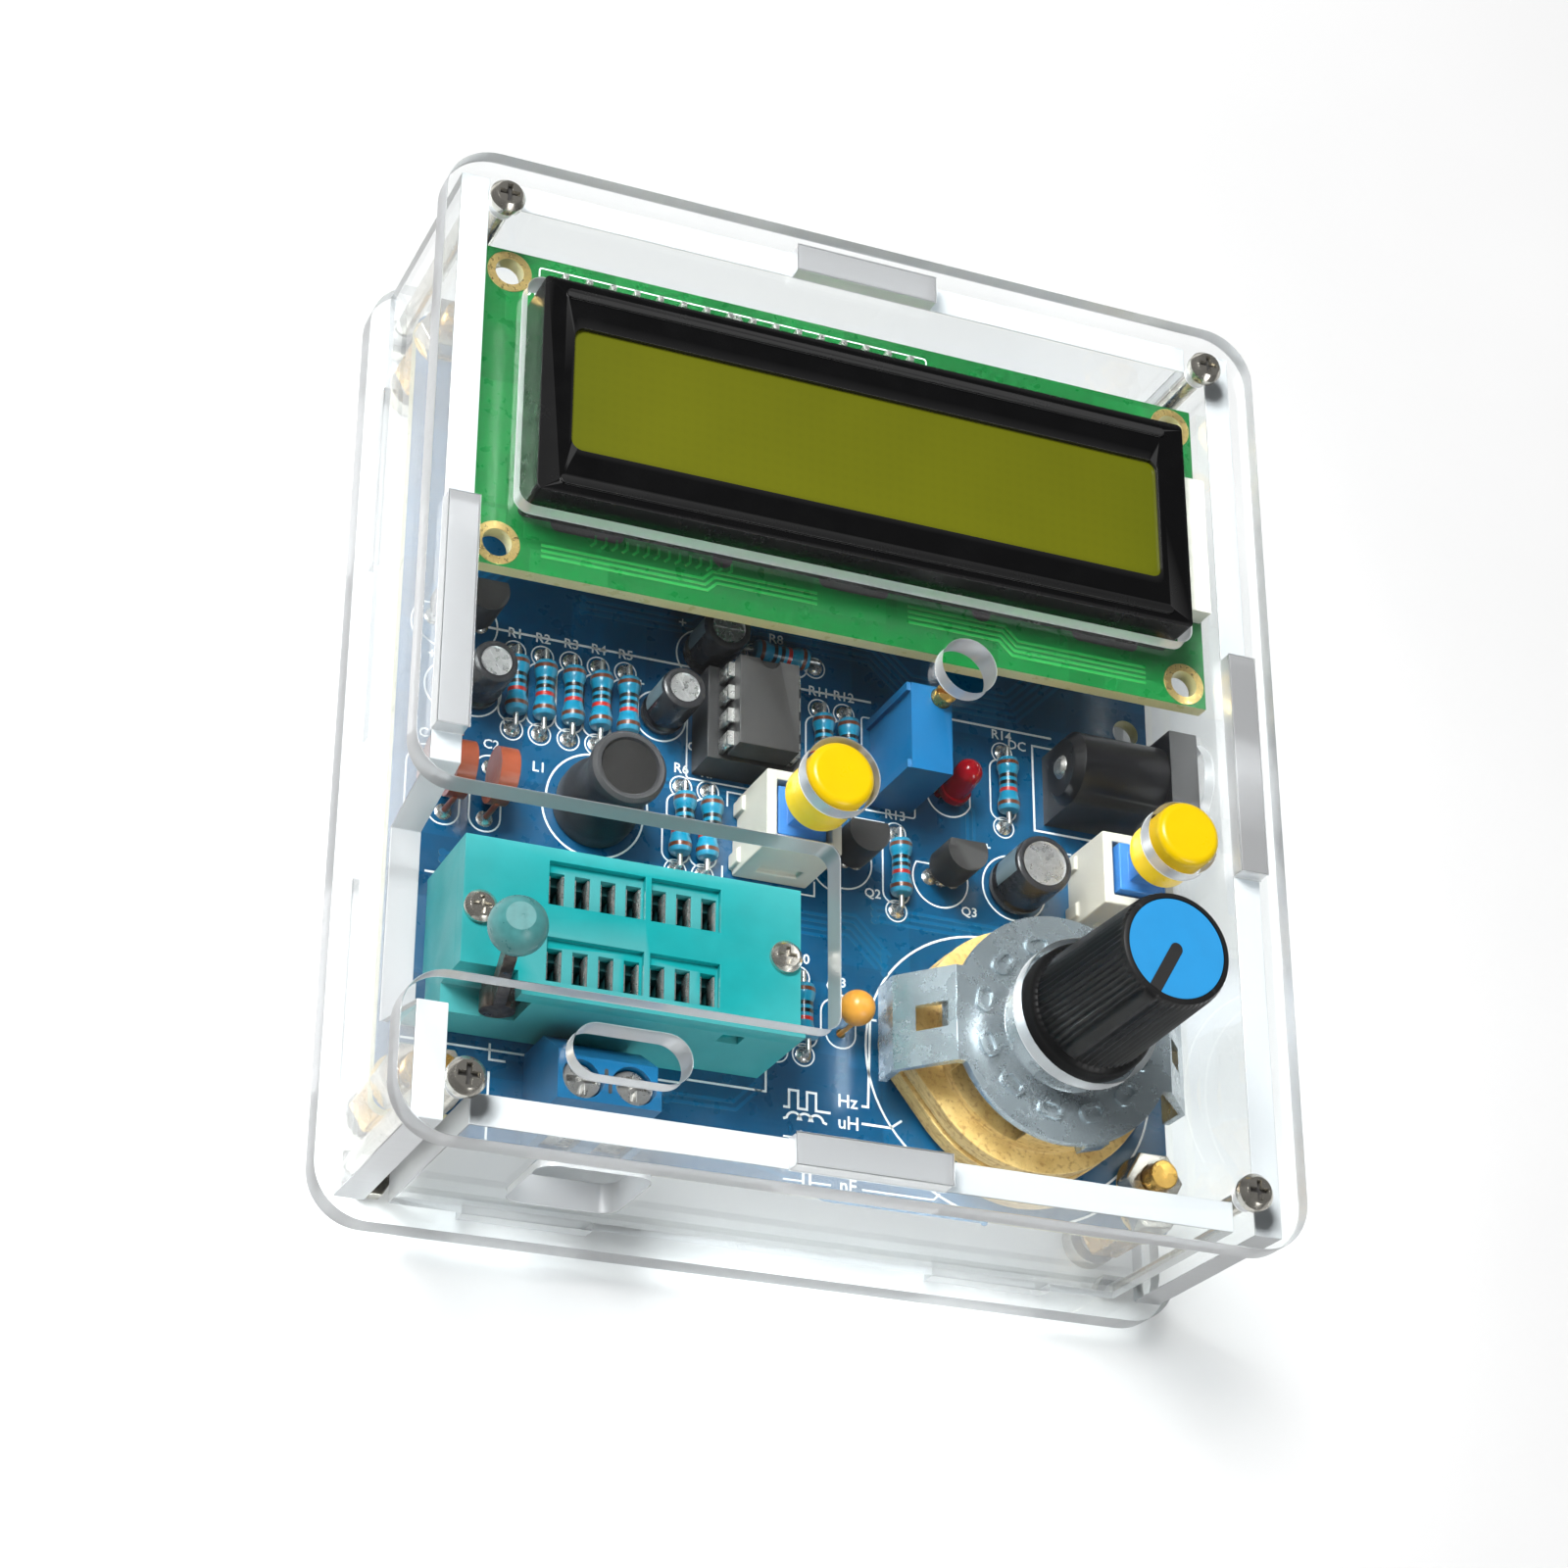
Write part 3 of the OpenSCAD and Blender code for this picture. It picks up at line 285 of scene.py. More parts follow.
def display_film(name):
    """Yellow-green display: a fine dot raster, faint clouding, a soft polariser sheen, and painted shade
    towards both ends in x and towards its +y edge.
    """
    s = Shader(name)
    split = s.add("ShaderNodeSeparateXYZ", Vector=s.place)
    low, high = box("lcd_glass")
    half = (high.x - low.x) / 2 * MM
    off_centre = s.sum("ABSOLUTE", s.sum("SUBTRACT", split.outputs[0], (low.x + high.x) / 2 * MM))
    # Painted shade: the film darkens towards both ends in x and towards its +y edge.
    painted_shade_at_x_ends = s.range(off_centre, half * 0.72, half, 0.0, 1.0)
    painted_shade_along_y = s.range(split.outputs[1], low.y * MM, high.y * MM, 0.0, 1.0)
    base = s.tint(painted_shade_along_y, srgb(112, 115, 6), srgb(100, 104, 3))
    base = s.tint(s.sum("MULTIPLY", painted_shade_at_x_ends, 0.45), base, srgb(84, 96, 4))
    dots = s.sum("MULTIPLY", *s.bands(0.62 * 6.28))
    base = s.tint(s.sum("MULTIPLY", dots, 0.05), base, srgb(60, 70, 10))
    s.set(Base_Color=s.tint(s.range(s.noise(14, 2), 0.3, 0.7, 0, 0.12), base, srgb(140, 144, 14)))
    s.set(Roughness=0.32, Coat_Weight=0.5, Coat_Roughness=0.18)
    return s.material


def tinted(name, colour, through, rough):
    """Tinted see-through plastic with a cloudy body."""
    s = Shader(name)
    cloud = s.noise(1.1, 3)
    s.set(Base_Color=s.tint(s.range(cloud, 0.3, 0.7, 0, 1), shade(colour, 0.85), shade(colour, 1.12)))
    s.set(Roughness=s.range(cloud, 0.3, 0.7, rough * 0.7, rough * 1.3), Transmission_Weight=through, IOR=1.5)
    s.bump(s.noise(0.3, 2), 0.004)
    return s.material


CLEAR_Z = clear_sheet("clear_sheet_panels", 2)
CLEAR_X = clear_sheet("clear_sheet_sides", 0)
CLEAR_Y = clear_sheet("clear_sheet_ends", 1)
NICKEL = metal("nickel_plate", srgb(212, 208, 198), 0.2, 0.9)
STEEL = metal("bright_steel", srgb(188, 186, 182), 0.3, 0.8)
BRASS = metal("bright_brass", srgb(206, 164, 82), 0.26, 1.4, stretch=(1, 1, 0.2))
TIN = metal("tinned_metal", srgb(206, 206, 202), 0.3, 0.5)
SOLDER = metal("solder", srgb(214, 214, 210), 0.22, 0.35, vary=0.25)
ZINC = metal("zinc_plate", srgb(180, 192, 198), 0.24, 2.2, grain=0.25, depth=0.0012, vary=0.14, body=0.2)
GOLD_PAD = metal("pad_plating", srgb(214, 186, 120), 0.32, 0.6)
DARK_STEEL = metal("dark_lever_steel", srgb(104, 92, 84), 0.35, 1.0, vary=0.35)
BLUE_BOARD = lacquered_board("blue_board", srgb(0, 72, 110), srgb(1, 92, 136))
GREEN_BOARD = lacquered_board("green_board", srgb(8, 98, 42), srgb(20, 120, 56))
BLUE_TRACE = lacquered_board("blue_trace", srgb(1, 90, 132), srgb(3, 100, 142))
GREEN_TRACE = lacquered_board("green_trace", srgb(34, 146, 66), srgb(40, 154, 72))
WHITE_INK = printed_ink("white_ink", srgb(236, 240, 240))
BLACK_BEZEL = moulded("black_bezel", srgb(10, 10, 11), 0.24, 0.3, 0.004, wear=0.2, coat=0.15)
FILM = display_film("display_film")
BACKLIGHT = moulded("white_backlight", srgb(226, 226, 214), 0.5)
IVORY = moulded("ivory_switch", srgb(190, 187, 174), 0.4, vary=0.04)
BLACK = moulded("black_moulding", srgb(24, 24, 25), 0.42, 0.1, 0.012, vary=0.25)
CHIP = moulded("chip_epoxy", srgb(25, 24, 23), 0.5, 0.08, 0.015, vary=0.15)
# Painted shade for the screw recesses, the terminal groove and the bezel slots.
PAINTED_RECESS_SHADE = moulded("recess_shadow", srgb(26, 24, 22), 0.6, vary=0.2)
JACK = moulded("inlet_moulding", srgb(16, 16, 18), 0.33, 0.14, 0.01, vary=0.3, wear=0.4)
TEAL = moulded("teal_moulding", srgb(4, 164, 166), 0.4, 0.16, 0.008, vary=0.06, wear=0.4)
TEAL_DARK = moulded("teal_slider", srgb(10, 120, 122), 0.45, vary=0.1)
SMOKE = tinted("lever_ball_resin", srgb(84, 158, 158), 0.12, 0.34)
PLUNGER = moulded("blue_plunger", srgb(20, 112, 186), 0.4)
YELLOW = moulded("yellow_cap", srgb(252, 212, 0), 0.3, 0.3, 0.004, vary=0.03, wear=0.2, coat=0.2)
LAMINATE = phenolic("brown_laminate")
KNOB = moulded("knob_moulding", srgb(12, 12, 13), 0.36, 0.1, 0.006, vary=0.2, wear=0.18)
INSET = moulded("knob_inset", srgb(0, 152, 222), 0.34, 0.2, 0.004, vary=0.04)
TRIM_BLUE = moulded("trimmer_moulding", srgb(1, 92, 142), 0.36, vary=0.05, wear=0.06)
BLOCK_BLUE = moulded("terminal_moulding", srgb(2, 96, 142), 0.36, vary=0.05, wear=0.06)
SHRINK = moulded("heat_shrink", srgb(44, 44, 46), 0.48, 0.2, 0.02, vary=0.2)
SLEEVE = moulded("can_sleeve", srgb(22, 22, 26), 0.25, vary=0.2, coat=0.3)
SLEEVE_MARK = moulded("sleeve_mark", srgb(96, 112, 118), 0.3, vary=0.08)
ALUMINIUM = metal("can_top", srgb(216, 216, 216), 0.3, 0.7)
DIP_BROWN = moulded("brown_dip", srgb(146, 66, 34), 0.34, 0.5, 0.03, vary=0.12, coat=0.3)
DIP_YELLOW = moulded("yellow_dip", srgb(214, 148, 52), 0.3, 0.6, 0.04, vary=0.08, coat=0.4)
RED_LENS = tinted("red_lens", srgb(170, 10, 28), 0.4, 0.1)
LACQUER = moulded("resistor_lacquer", srgb(10, 122, 154), 0.3, 0.5, 0.02, vary=0.08, coat=0.4)
BAND_BROWN = moulded("band_brown", srgb(92, 44, 20), 0.3, vary=0.1, coat=0.4)
BAND_BLACK = moulded("band_black", srgb(20, 18, 18), 0.3, vary=0.1, coat=0.4)
BAND_RED = moulded("band_red", srgb(164, 30, 24), 0.3, vary=0.1, coat=0.4)


# ---------------------------------------------------------------- CAD nodes that stay

def dress(material, bevel, *names):
    """Gives CAD nodes their material and, with a bevel in millimetres, rounds their edges."""
    for name in names:
        node = NODES[name]
        for slot in node.material_slots:
            slot.material = material
        if bevel:
            weld = node.modifiers.new("weld", "WELD")
            weld.merge_threshold = 1e-6
            flats = node.modifiers.new("flats", "DECIMATE")
            flats.decimate_type = "DISSOLVE"
            flats.angle_limit = FLAT_ANGLE
            edges = node.modifiers.new("edges", "BEVEL")
            edges.width = bevel * MM
            edges.segments = 2
            edges.limit_method = "ANGLE"
            edges.angle_limit = EDGE_ANGLE
            node.modifiers.new("normals", "WEIGHTED_NORMAL")


dress(CLEAR_Z, 0.12, "front_panel", "rear_panel")
dress(CLEAR_X, 0.12, "left_wall", "right_wall")
dress(CLEAR_Y, 0.12, "top_wall", "bottom_wall")
dress(NICKEL, 0.1, "case_screws", "case_nuts", "board_screws", "zif_screws")
dress(NICKEL, 0.18, "board_nuts")
dress(STEEL, 0.08, "terminal_screw_left", "terminal_screw_right")
dress(STEEL, 0.08, "terminal_clamp_left", "terminal_clamp_right")
dress(STEEL, 0.1, "dc_jack_pin", "rotary_shaft")
dress(BRASS, 0.15, "board_standoffs")
dress(BRASS, 0.08, "trimmer_screw")
dress(TIN, 0.03, "zif_contacts", "rotary_terminals", "lcd_header_pins")
dress(TIN, 0, "resistor_leads")
dress(STEEL, 0.2, "crystal")
dress(ZINC, 0.12, "rotary_plate")
dress(DARK_STEEL, 0.12, "zif_lever")
dress(BLUE_BOARD, 0.05, "main_board")
dress(GREEN_BOARD, 0.05, "lcd_board")
dress(BLACK_BEZEL, 0.22, "lcd_bezel")
dress(FILM, 0.1, "lcd_glass")
dress(BACKLIGHT, 0.15, "lcd_backlight")
dress(IVORY, 0.25, "left_switch_body", "right_switch_body")
dress(BLACK, 0.12, "lcd_header_socket", "rotary_rotor", "main_chip_socket", "small_chip_socket")
dress(CHIP, 0.12, "main_chip", "small_chip", "transistors")
dress(JACK, 0.25, "dc_jack_body")
dress(TEAL, 0.14, "zif_base", "zif_cover")
dress(TEAL_DARK, 0.1, "zif_slider")
dress(SMOKE, 0, "zif_lever_ball")
dress(PLUNGER, 0.15, "left_switch_plunger", "right_switch_plunger")
dress(YELLOW, 0.3, "left_button_cap", "right_button_cap")
dress(LAMINATE, 0.1, "rotary_stator")
dress(TRIM_BLUE, 0.15, "trimmer_body")
dress(BLOCK_BLUE, 0.15, "terminal_block")
dress(DIP_BROWN, 0.1, "ceramic_capacitors")
dress(DIP_YELLOW, 0, "yellow_capacitor")
dress(RED_LENS, 0.05, "led")


# ---------------------------------------------------------------- mesh building

def turn(x=0.0, y=0.0, z=0.0, about="Z", angle=0.0):
    """Moves to a point and turns there by an angle in degrees."""
    return Matrix.Translation((x, y, z)) @ Matrix.Rotation(math.radians(angle), 4, about)


def arc(x, y, radius, start, end, steps=24):
    """Points along a circle from one angle to another, in degrees."""
    angles = [math.radians(start + (end - start) * i / steps) for i in range(steps + 1)]
    return [(x + radius * math.cos(a), y + radius * math.sin(a)) for a in angles]


def rectangle(left, low, right, high):
    return [(left, low), (right, low), (right, high), (left, high)]


def mitres(path, closed=False):
    """Each point of a path, its sideways direction, and the cosine by which a mitre widens there."""
    count = len(path)
    for i, point in enumerate(path):
        ways = []
        if i or closed:
            ways.append((point - path[i - 1]).normalized())
        if i < count - 1 or closed:
            ways.append((path[(i + 1) % count] - point).normalized())
        along = sum(ways, Vector((0, 0))).normalized()
        side = Vector((-along.y, along.x))
        yield point, side, side.dot(Vector((-ways[0].y, ways[0].x)))


def rounded(x, y, width, height, radius, steps=6):
    """Outline of a rounded rectangle about x, y."""
    points = []
    for k, (sx, sy) in enumerate(((1, 1), (-1, 1), (-1, -1), (1, -1))):
        cx, cy = x + sx * (width / 2 - radius), y + sy * (height / 2 - radius)
        points += arc(cx, cy, radius, 90 * k, 90 * k + 90, steps)
    return points


class Build:
    """One mesh that collects solids, in millimetres."""

    def __init__(self):
        self.bm = bmesh.new()

    def quad(self, corners, mat=0):
        """A smooth face. Corners that fall together count once."""
        unique = []
        for corner in corners:
            if corner not in unique:
                unique.append(corner)
        if len(unique) > 2:
            face = self.bm.faces.new(unique)
            face.material_index = mat
            face.smooth = True

    def skin(self, rings, mats=None, closed=True):
        """Joins rings of points. A ring of one point closes the end."""
        made = [[self.bm.verts.new(p) for p in ring] for ring in rings]
        for i, (low, high) in enumerate(zip(made, made[1:])):
            count = max(len(low), len(high))
            for k in range(count if closed else count - 1):
                n = (k + 1) % count
                corners = [low[k % len(low)], low[n % len(low)], high[n % len(high)], high[k % len(high)]]
                self.quad(corners, mats[i] if mats else 0)

    def lathe(self, profile, place=Matrix(), steps=40, mats=None):
        """Turns (radius, height) pairs about the local z axis."""
        turns = [math.tau * k / steps for k in range(steps)]
        rings = []
        for radius, height in profile:
            if radius < 1e-6:
                points = [(0, 0, height)]
            else:
                points = [(radius * math.cos(a), radius * math.sin(a), height) for a in turns]
            rings.append([place @ Vector(p) for p in points])
        self.skin(rings, mats)

    def slab(self, outline, low, high, mat=0, place=Matrix()):
        """Extrudes a flat outline from height low to high."""
        rings = [[self.bm.verts.new(place @ Vector((x, y, z))) for x, y in outline] for z in (low, high)]
        for k in range(len(outline)):
            n = (k + 1) % len(outline)
            self.quad([rings[0][k], rings[0][n], rings[1][n], rings[1][k]], mat)
        for ring in (list(reversed(rings[0])), rings[1]):
            face = self.bm.faces.new(ring)
            face.material_index = mat

    def ribbon(self, points, width, low, high, closed=False):
        """A flat line with mitred corners along points."""
        path = [Vector(p) for p in points]
        if closed and (path[0] - path[-1]).length < 1e-6:
            path.pop()
        made = []
        for point, side, cosine in mitres(path, closed):
            reach = width / 2 / max(0.4, abs(cosine))
            left, right = point + side * reach, point - side * reach
            corners = [(left, low), (right, low), (right, high), (left, high)]
            made.append([self.bm.verts.new((p.x, p.y, z)) for p, z in corners])
        if closed:
            made.append(made[0])
        else:
            self.bm.faces.new(made[0])
            self.bm.faces.new(list(reversed(made[-1])))
        for a, b in zip(made, made[1:]):
            for k in range(4):
                self.quad([a[k], a[(k + 1) % 4], b[(k + 1) % 4], b[k]])

    def text(self, words, x, y, height, size):
        """Plain lettering, flat on a board."""
        curve = bpy.data.curves.new("words", "FONT")
        curve.body = words
        curve.size = size
        curve.extrude = HAIR / 2
        curve.offset = 0.02
        curve.resolution_u = 2
        curve.align_x = "CENTER"
        curve.align_y = "CENTER"
        holder = bpy.data.objects.new("words", curve)
        bpy.context.scene.collection.objects.link(holder)
        bpy.context.view_layer.update()
        depsgraph = bpy.context.evaluated_depsgraph_get()
        mesh = bpy.data.meshes.new_from_object(holder.evaluated_get(depsgraph))
        mesh.transform(turn(x, y, height + HAIR / 2))
        self.bm.from_mesh(mesh)
        bpy.data.objects.remove(holder)
        bpy.data.curves.remove(curve)
        bpy.data.meshes.remove(mesh)

    def make(self, name, materials):
        """Makes the object, in metres, with its sharp edges marked."""
        bmesh.ops.recalc_face_normals(self.bm, faces=self.bm.faces)
        for edge in self.bm.edges:
            if edge.calc_face_angle(0) > EDGE_ANGLE:
                edge.smooth = False
        bmesh.ops.scale(self.bm, vec=(MM, MM, MM), verts=self.bm.verts)
        mesh = bpy.data.meshes.new(name)
        self.bm.to_mesh(mesh)
        self.bm.free()
        for material in materials:
            mesh.materials.append(material)
        made = bpy.data.objects.new(name, mesh)
        bpy.context.scene.collection.objects.link(made)
        return made

    def piece(self, name, materials, body="case", slot=None, stands_for=()):
        """Makes the object, rides it on a body and hides the CAD nodes that it stands for."""
        piece = self.make(name, materials)
        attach(piece, body)
        if stands_for:
            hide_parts(*stands_for)


# ---------------------------------------------------------------- main board: print, tracks, solder

RESISTORS = [((low + high) / 2, (high - low).y > (high - low).x) for low, high in solids("resistor_bodies")]
CANS = solids("electrolytic_capacitors")
TRANSISTORS = solids("transistors")
DISCS = solids("ceramic_capacitors")
LEAD_SPAN = 8.6      # between the two holes of a resistor


def lead_holes():
    """Where legs of the small parts pass through the main board."""
    holes = []
    for centre, upright in RESISTORS:
        for side in (-1, 1):
            reach = side * LEAD_SPAN / 2
            holes.append((centre.x, centre.y + reach) if upright else (centre.x + reach, centre.y))
    for low, high in TRANSISTORS:
        holes += [((low.x + high.x) / 2 + k * PIN_PITCH / 2, (low.y + high.y) / 2) for k in (-1, 0, 1)]
    for low, high in DISCS:
        holes += [((low.x + high.x) / 2, (low.y + high.y) / 2 + k * 2.5) for k in (-1, 1)]
    return holes


def through_pins():
    """Pins of the larger parts, which show as solder cones under the board."""
    pins = []
    for name in ("zif_contacts", "rotary_terminals", "lcd_header_pins"):
        for low, high in solids(name):
            pins.append(((low.x + high.x) / 2, (low.y + high.y) / 2))
    for name, along_x, count in (("main_chip_socket", True, 14), ("small_chip_socket", False, 4)):
        centre = middle(name)
        for k in range(count):
            step = (k - (count - 1) / 2) * PIN_PITCH
            for reach in (-CHIP_ROWS / 2, CHIP_ROWS / 2):
                away = (step, reach) if along_x else (reach, step)
                pins.append((centre.x + away[0], centre.y + away[1]))
    for low, high in CANS:
        pins += [((low.x + high.x) / 2 + k, (low.y + high.y) / 2) for k in (-1.0, 1.0)]
    return pins


def solder_work():
    """Fillets round the legs on top, and a cone on each leg under the board."""
    build = Build()
    fillet = [(0.85, 0.0), (0.85, 0.05), (0.62, 0.14), (0.4, 0.34), (0.3, 0.6), (0.0, 0.7)]
    cone = [(1.0, 0.0), (0.98, 0.08), (0.66, 0.4), (0.42, 0.9), (0.3, 1.5), (0.12, 1.62), (0.0, 1.64)]
    for x, y in lead_holes():
        build.lathe([(0, 0)] + fillet, turn(x, y, DECK), 20)
        build.lathe([(0, 0)] + cone, turn(x, y, UNDERSIDE, "X", 180), 16)
    for x, y in through_pins():
        build.lathe([(0, 0)] + cone, turn(x, y, UNDERSIDE, "X", 180), 16)
    for low, high in solids("lcd_header_pins"):
        x, y = (low.x + high.x) / 2, (low.y + high.y) / 2
        oblong = turn(x, y, DISPLAY_DECK) @ Matrix.Diagonal((0.86, 1.3, 1.0, 1.0))
        build.lathe([(0, 0), (0.95, 0.0), (0.93, 0.08), (0.62, 0.3), (0.42, 0.66), (0.0, 0.76)], oblong, 24)
    build.piece("solder_joints", [SOLDER], slot="tinned_metal")


class BoardPrint(Build):
    """White print on the main board."""

    def line(self, points, closed=False, width=0.17):
        self.ribbon(points, width, DECK, DECK + HAIR, closed)

    def bold(self, points, closed=False):
        self.line(points, closed, 0.22)

    def label(self, words, x, y, size=1.4):
        self.text(words, x, y, DECK, size)


def print_resistors(build):
    for k, (centre, upright) in enumerate(RESISTORS):
        size = (2.9, 6.9) if upright else (6.9, 2.9)
        build.line(rounded(centre.x, centre.y, *size, 1.1), True)
        for side in (-1, 1):
            reach = side * LEAD_SPAN / 2
            x, y = (centre.x, centre.y + reach) if upright else (centre.x + reach, centre.y)
            build.line(arc(x, y, 1.15, 0, 360), True, 0.14)
        build.label("R%d" % (k + 1), centre.x, centre.y + (6.3 if upright else 2.4), 1.5)


def print_small_parts(build):
    """Outlines and numbers of the capacitors, transistors, coil and lamp."""
    for k, (low, high) in enumerate(CANS):
        x, y = (low.x + high.x) / 2, (low.y + high.y) / 2
        radius = (high.x - low.x) / 2 + 0.45
        build.line(arc(x, y, radius, 0, 360, 40), True)
        plus_x, plus_y = x - radius + 0.6, y + radius + 0.5
        build.line([(plus_x, plus_y - 0.4), (plus_x, plus_y + 0.4)])
        build.line([(plus_x - 0.4, plus_y), (plus_x + 0.4, plus_y)])
        build.label("C%d" % (k + 4), x + radius + 1.1, y - radius)
    for k, (low, high) in enumerate(TRANSISTORS):
        x, y = (low.x + high.x) / 2, (low.y + high.y) / 2
        build.line(arc(x, y, 3.1, -210, 30, 30), True)
        build.label("Q%d" % (k + 1), x + 3.2, y - 3.1)
    for k, (low, high) in enumerate(DISCS):
        x, y = (low.x + high.x) / 2, (low.y + high.y) / 2
        build.line(rounded(x, y, 3.2, 7.6, 1.5), True)
        build.label("C%d" % (k + 1), x, y + 5.0)
    coil, lamp, drop = middle("inductor"), middle("led"), middle("yellow_capacitor")
    build.line(arc(coil.x, coil.y, 5.3, 0, 360, 48), True, 0.2)
    build.label("L1", coil.x - 6.1, coil.y + 2.8, 1.5)
    build.line(arc(lamp.x, lamp.y, 2.6, 25, 335, 40), True)
    build.line(rounded(drop.x, drop.y, 3.2, 5.6, 1.5), True)
    build.label("C3", drop.x - 0.2, drop.y + 4.1)


def print_large_parts(build):
    """Outlines of the sockets, trimmer, terminals, switches and inlet."""
    rim = 0.5
    for name in ("small_chip_socket", "trimmer_body"):
        low, high = box(name)
        width, height = high.x - low.x + 2 * rim, high.y - low.y + 2 * rim
        build.line(rounded((low.x + high.x) / 2, (low.y + high.y) / 2, width, height, 0.3, 3), True)
    board_left = box("main_board")[0].x
    low, high = box("zif_base")
    right = high.x + 0.9
    for start, end in ((low.y - 1.2, low.y + 1.0), (high.y + 0.9, high.y - 1.0)):
        build.bold([(board_left + 1.5, start), (right, start), (right, end)])
    low, high = box("terminal_block")
    left = low.x - 3.4
    for side, x in ((-1, left), (1, high.x + 0.9)):
        build.bold([(x, high.y + 0.6), (x, high.y - 1.0), (x - side * 1.6, high.y - 1.0)])
    build.bold([(left, high.y - 2.2), (left, low.y + 0.4)])
    for name in ("left_switch_body", "right_switch_body"):
        low, high = box(name)
        for sx in (-1, 1):
            for sy in (-1, 1):
                x = (low.x + high.x) / 2 + sx * (high.x - low.x + 1.2) / 2
                y = (low.y + high.y) / 2 + sy * (high.y - low.y + 1.2) / 2
                build.line([(x - sx * 1.6, y), (x, y), (x, y - sy * 1.6)])
    low, high = box("dc_jack_body")
    left = low.x - 0.2
    top, bottom = high.y + 0.6, low.y - 0.2
    build.bold([(low.x + 6, top), (left, top), (left, bottom), (low.x + 9, bottom)])
    build.label("DC", low.x - 2.0, high.y + 0.2, 1.5)


def print_borders(build):
    """Lines between the groups of parts."""
    board_left = box("main_board")[0].x
    for start, end, y in ((board_left + 2.4, 7.8, 7.9), (17.0, 28.7, 7.8), (4.6, 9.2, -5.6)):
        build.line([(start, y), (end, y)], width=0.24)


def print_ranges(build):
    """Oval round the range switch, and the symbols of the ranges with their leaders."""
    bold = 0.24
    unit_size = 1.9
    low, high = box("rotary_stator")
    radius = (high.y - low.y) / 2 + 0.9
    inner = (high.x - low.x) / 2 - (high.y - low.y) / 2
    x, y = (low.x + high.x) / 2, (low.y + high.y) / 2
    build.bold(arc(x - inner, y, radius, 90, 270, 40) + arc(x + inner, y, radius, -90, 90, 40), True)
    oval_left = x - inner - radius

    left, right, height = -1.9, 3.1, -37.0
    lead = 0.6
    step = (right - left - 2 * lead) / 4
    wave = [(left, height - 0.7), (left + lead, height - 0.7)]
    for k in range(4):
        level = height + (1.1 if k % 2 == 0 else -0.7)
        wave += [(left + lead + k * step, level), (left + lead + (k + 1) * step, level)]
    build.line(wave + [(right, height - 0.7)], width=bold)
    build.label("Hz", 4.9, height + 0.7, unit_size)
    build.line([(6.4, height + 0.5), (7.1, height + 0.5), (7.4, -27.3), (8.1, -27.3)], width=bold)
    coil = height - 1.9
    loops = [p for k in range(3) for p in arc(left + 1.1 + k * 1.2, coil, 0.75, 170, 10, 8)]
    build.line([(left, coil)] + loops + [(right - 0.4, coil)], width=bold)
    build.label("uH", 5.0, coil + 0.4, unit_size)
    build.line([(6.4, coil + 0.6), (9.5, coil + 0.6), (10.7, coil + 1.5)], width=bold)
    diode = coil - 1.8
    build.line([(left, diode), (0.0, diode)])
    build.line([(0.0, diode - 0.7), (0.0, diode + 0.7), (1.2, diode)], True)
    build.line([(1.2, diode - 0.7), (1.2, diode + 0.7)])
    build.line([(1.2, diode), (right, diode), (oval_left + 4.5, diode)])
    plates = diode - 2.2
    build.line([(left, plates), (0.2, plates)])
    for plate in (0.2, 0.9):
        build.line([(plate, plates - 0.8), (plate, plates + 0.8)], width=0.26)
    build.line([(0.9, plates), (right, plates)])
    build.label("nF", 4.9, plates + 0.1, unit_size)
    build.line([(6.4, plates), (14.0, plates), (14.7, plates + 0.7)])


def board_print():
    """White printed outlines, symbols and plain part numbers."""
    build = BoardPrint()
    print_resistors(build)
    print_small_parts(build)
    print_large_parts(build)
    print_borders(build)
    print_ranges(build)
    build.piece("board_print", [WHITE_INK], slot="white_plastic")


def bus(build, points, count, pitch, width, low, high):
    """Parallel tracks that follow one route."""
    path = [Vector(p) for p in points]
    for n in range(count):
        away = (n - (count - 1) / 2) * pitch
        shifted = [tuple(point + side * away / max(0.5, cosine)) for point, side, cosine in mitres(path)]
        build.ribbon(shifted, width, low, high)


# Each route of tracks, and how many run along it
TOP_TRACKS = [
    ([(-38, 5.5), (-36, 11.5), (-30, 17.5), (-30, 38)], 4),
    ([(-24, 12.5), (-12, 12.5), (-9, 15.5), (-9, 20)], 3),
    ([(-5.5, 14), (8, 14), (12, 10.5), (24, 10.5), (30, 16.5), (36, 16.5)], 5),
    ([(14.5, 5.5), (14.5, 2), (19, -2.5), (19, -6.5)], 2),
    ([(-17, -5.5), (-5, -5.5), (-1, -1.5)], 2),
    ([(8, -15.8), (29, -15.8), (33, -19.8), (37, -19.8)], 3),
    ([(-3.2, -17.5), (5.5, -17.5), (9, -21)], 4),
    ([(-14, -38.4), (-7, -38.4), (-4.5, -35.9)], 2),
    ([(-37, -17), (-25, -17)], 2),
    ([(-16, -41.5), (-5, -41.5), (3, -43.6), (20, -43.6)], 2),
]
REAR_TRACKS = [
    ([(-34, 30), (-20, 30), (-12, 22), (10, 22), (18, 30), (34, 30)], 6),
    ([(-36, 12), (-22, 12), (-14, 4), (8, 4), (14, 10), (36, 10)], 5),
    ([(-30, -6), (-10, -6), (-2, -14), (12, -14)], 6),
    ([(-8, -20), (-2, -26), (-2, -34), (4, -40), (24, -40)], 4),
    ([(-36, -18), (-36, -32), (-30, -38), (-14, -38)], 3),
]


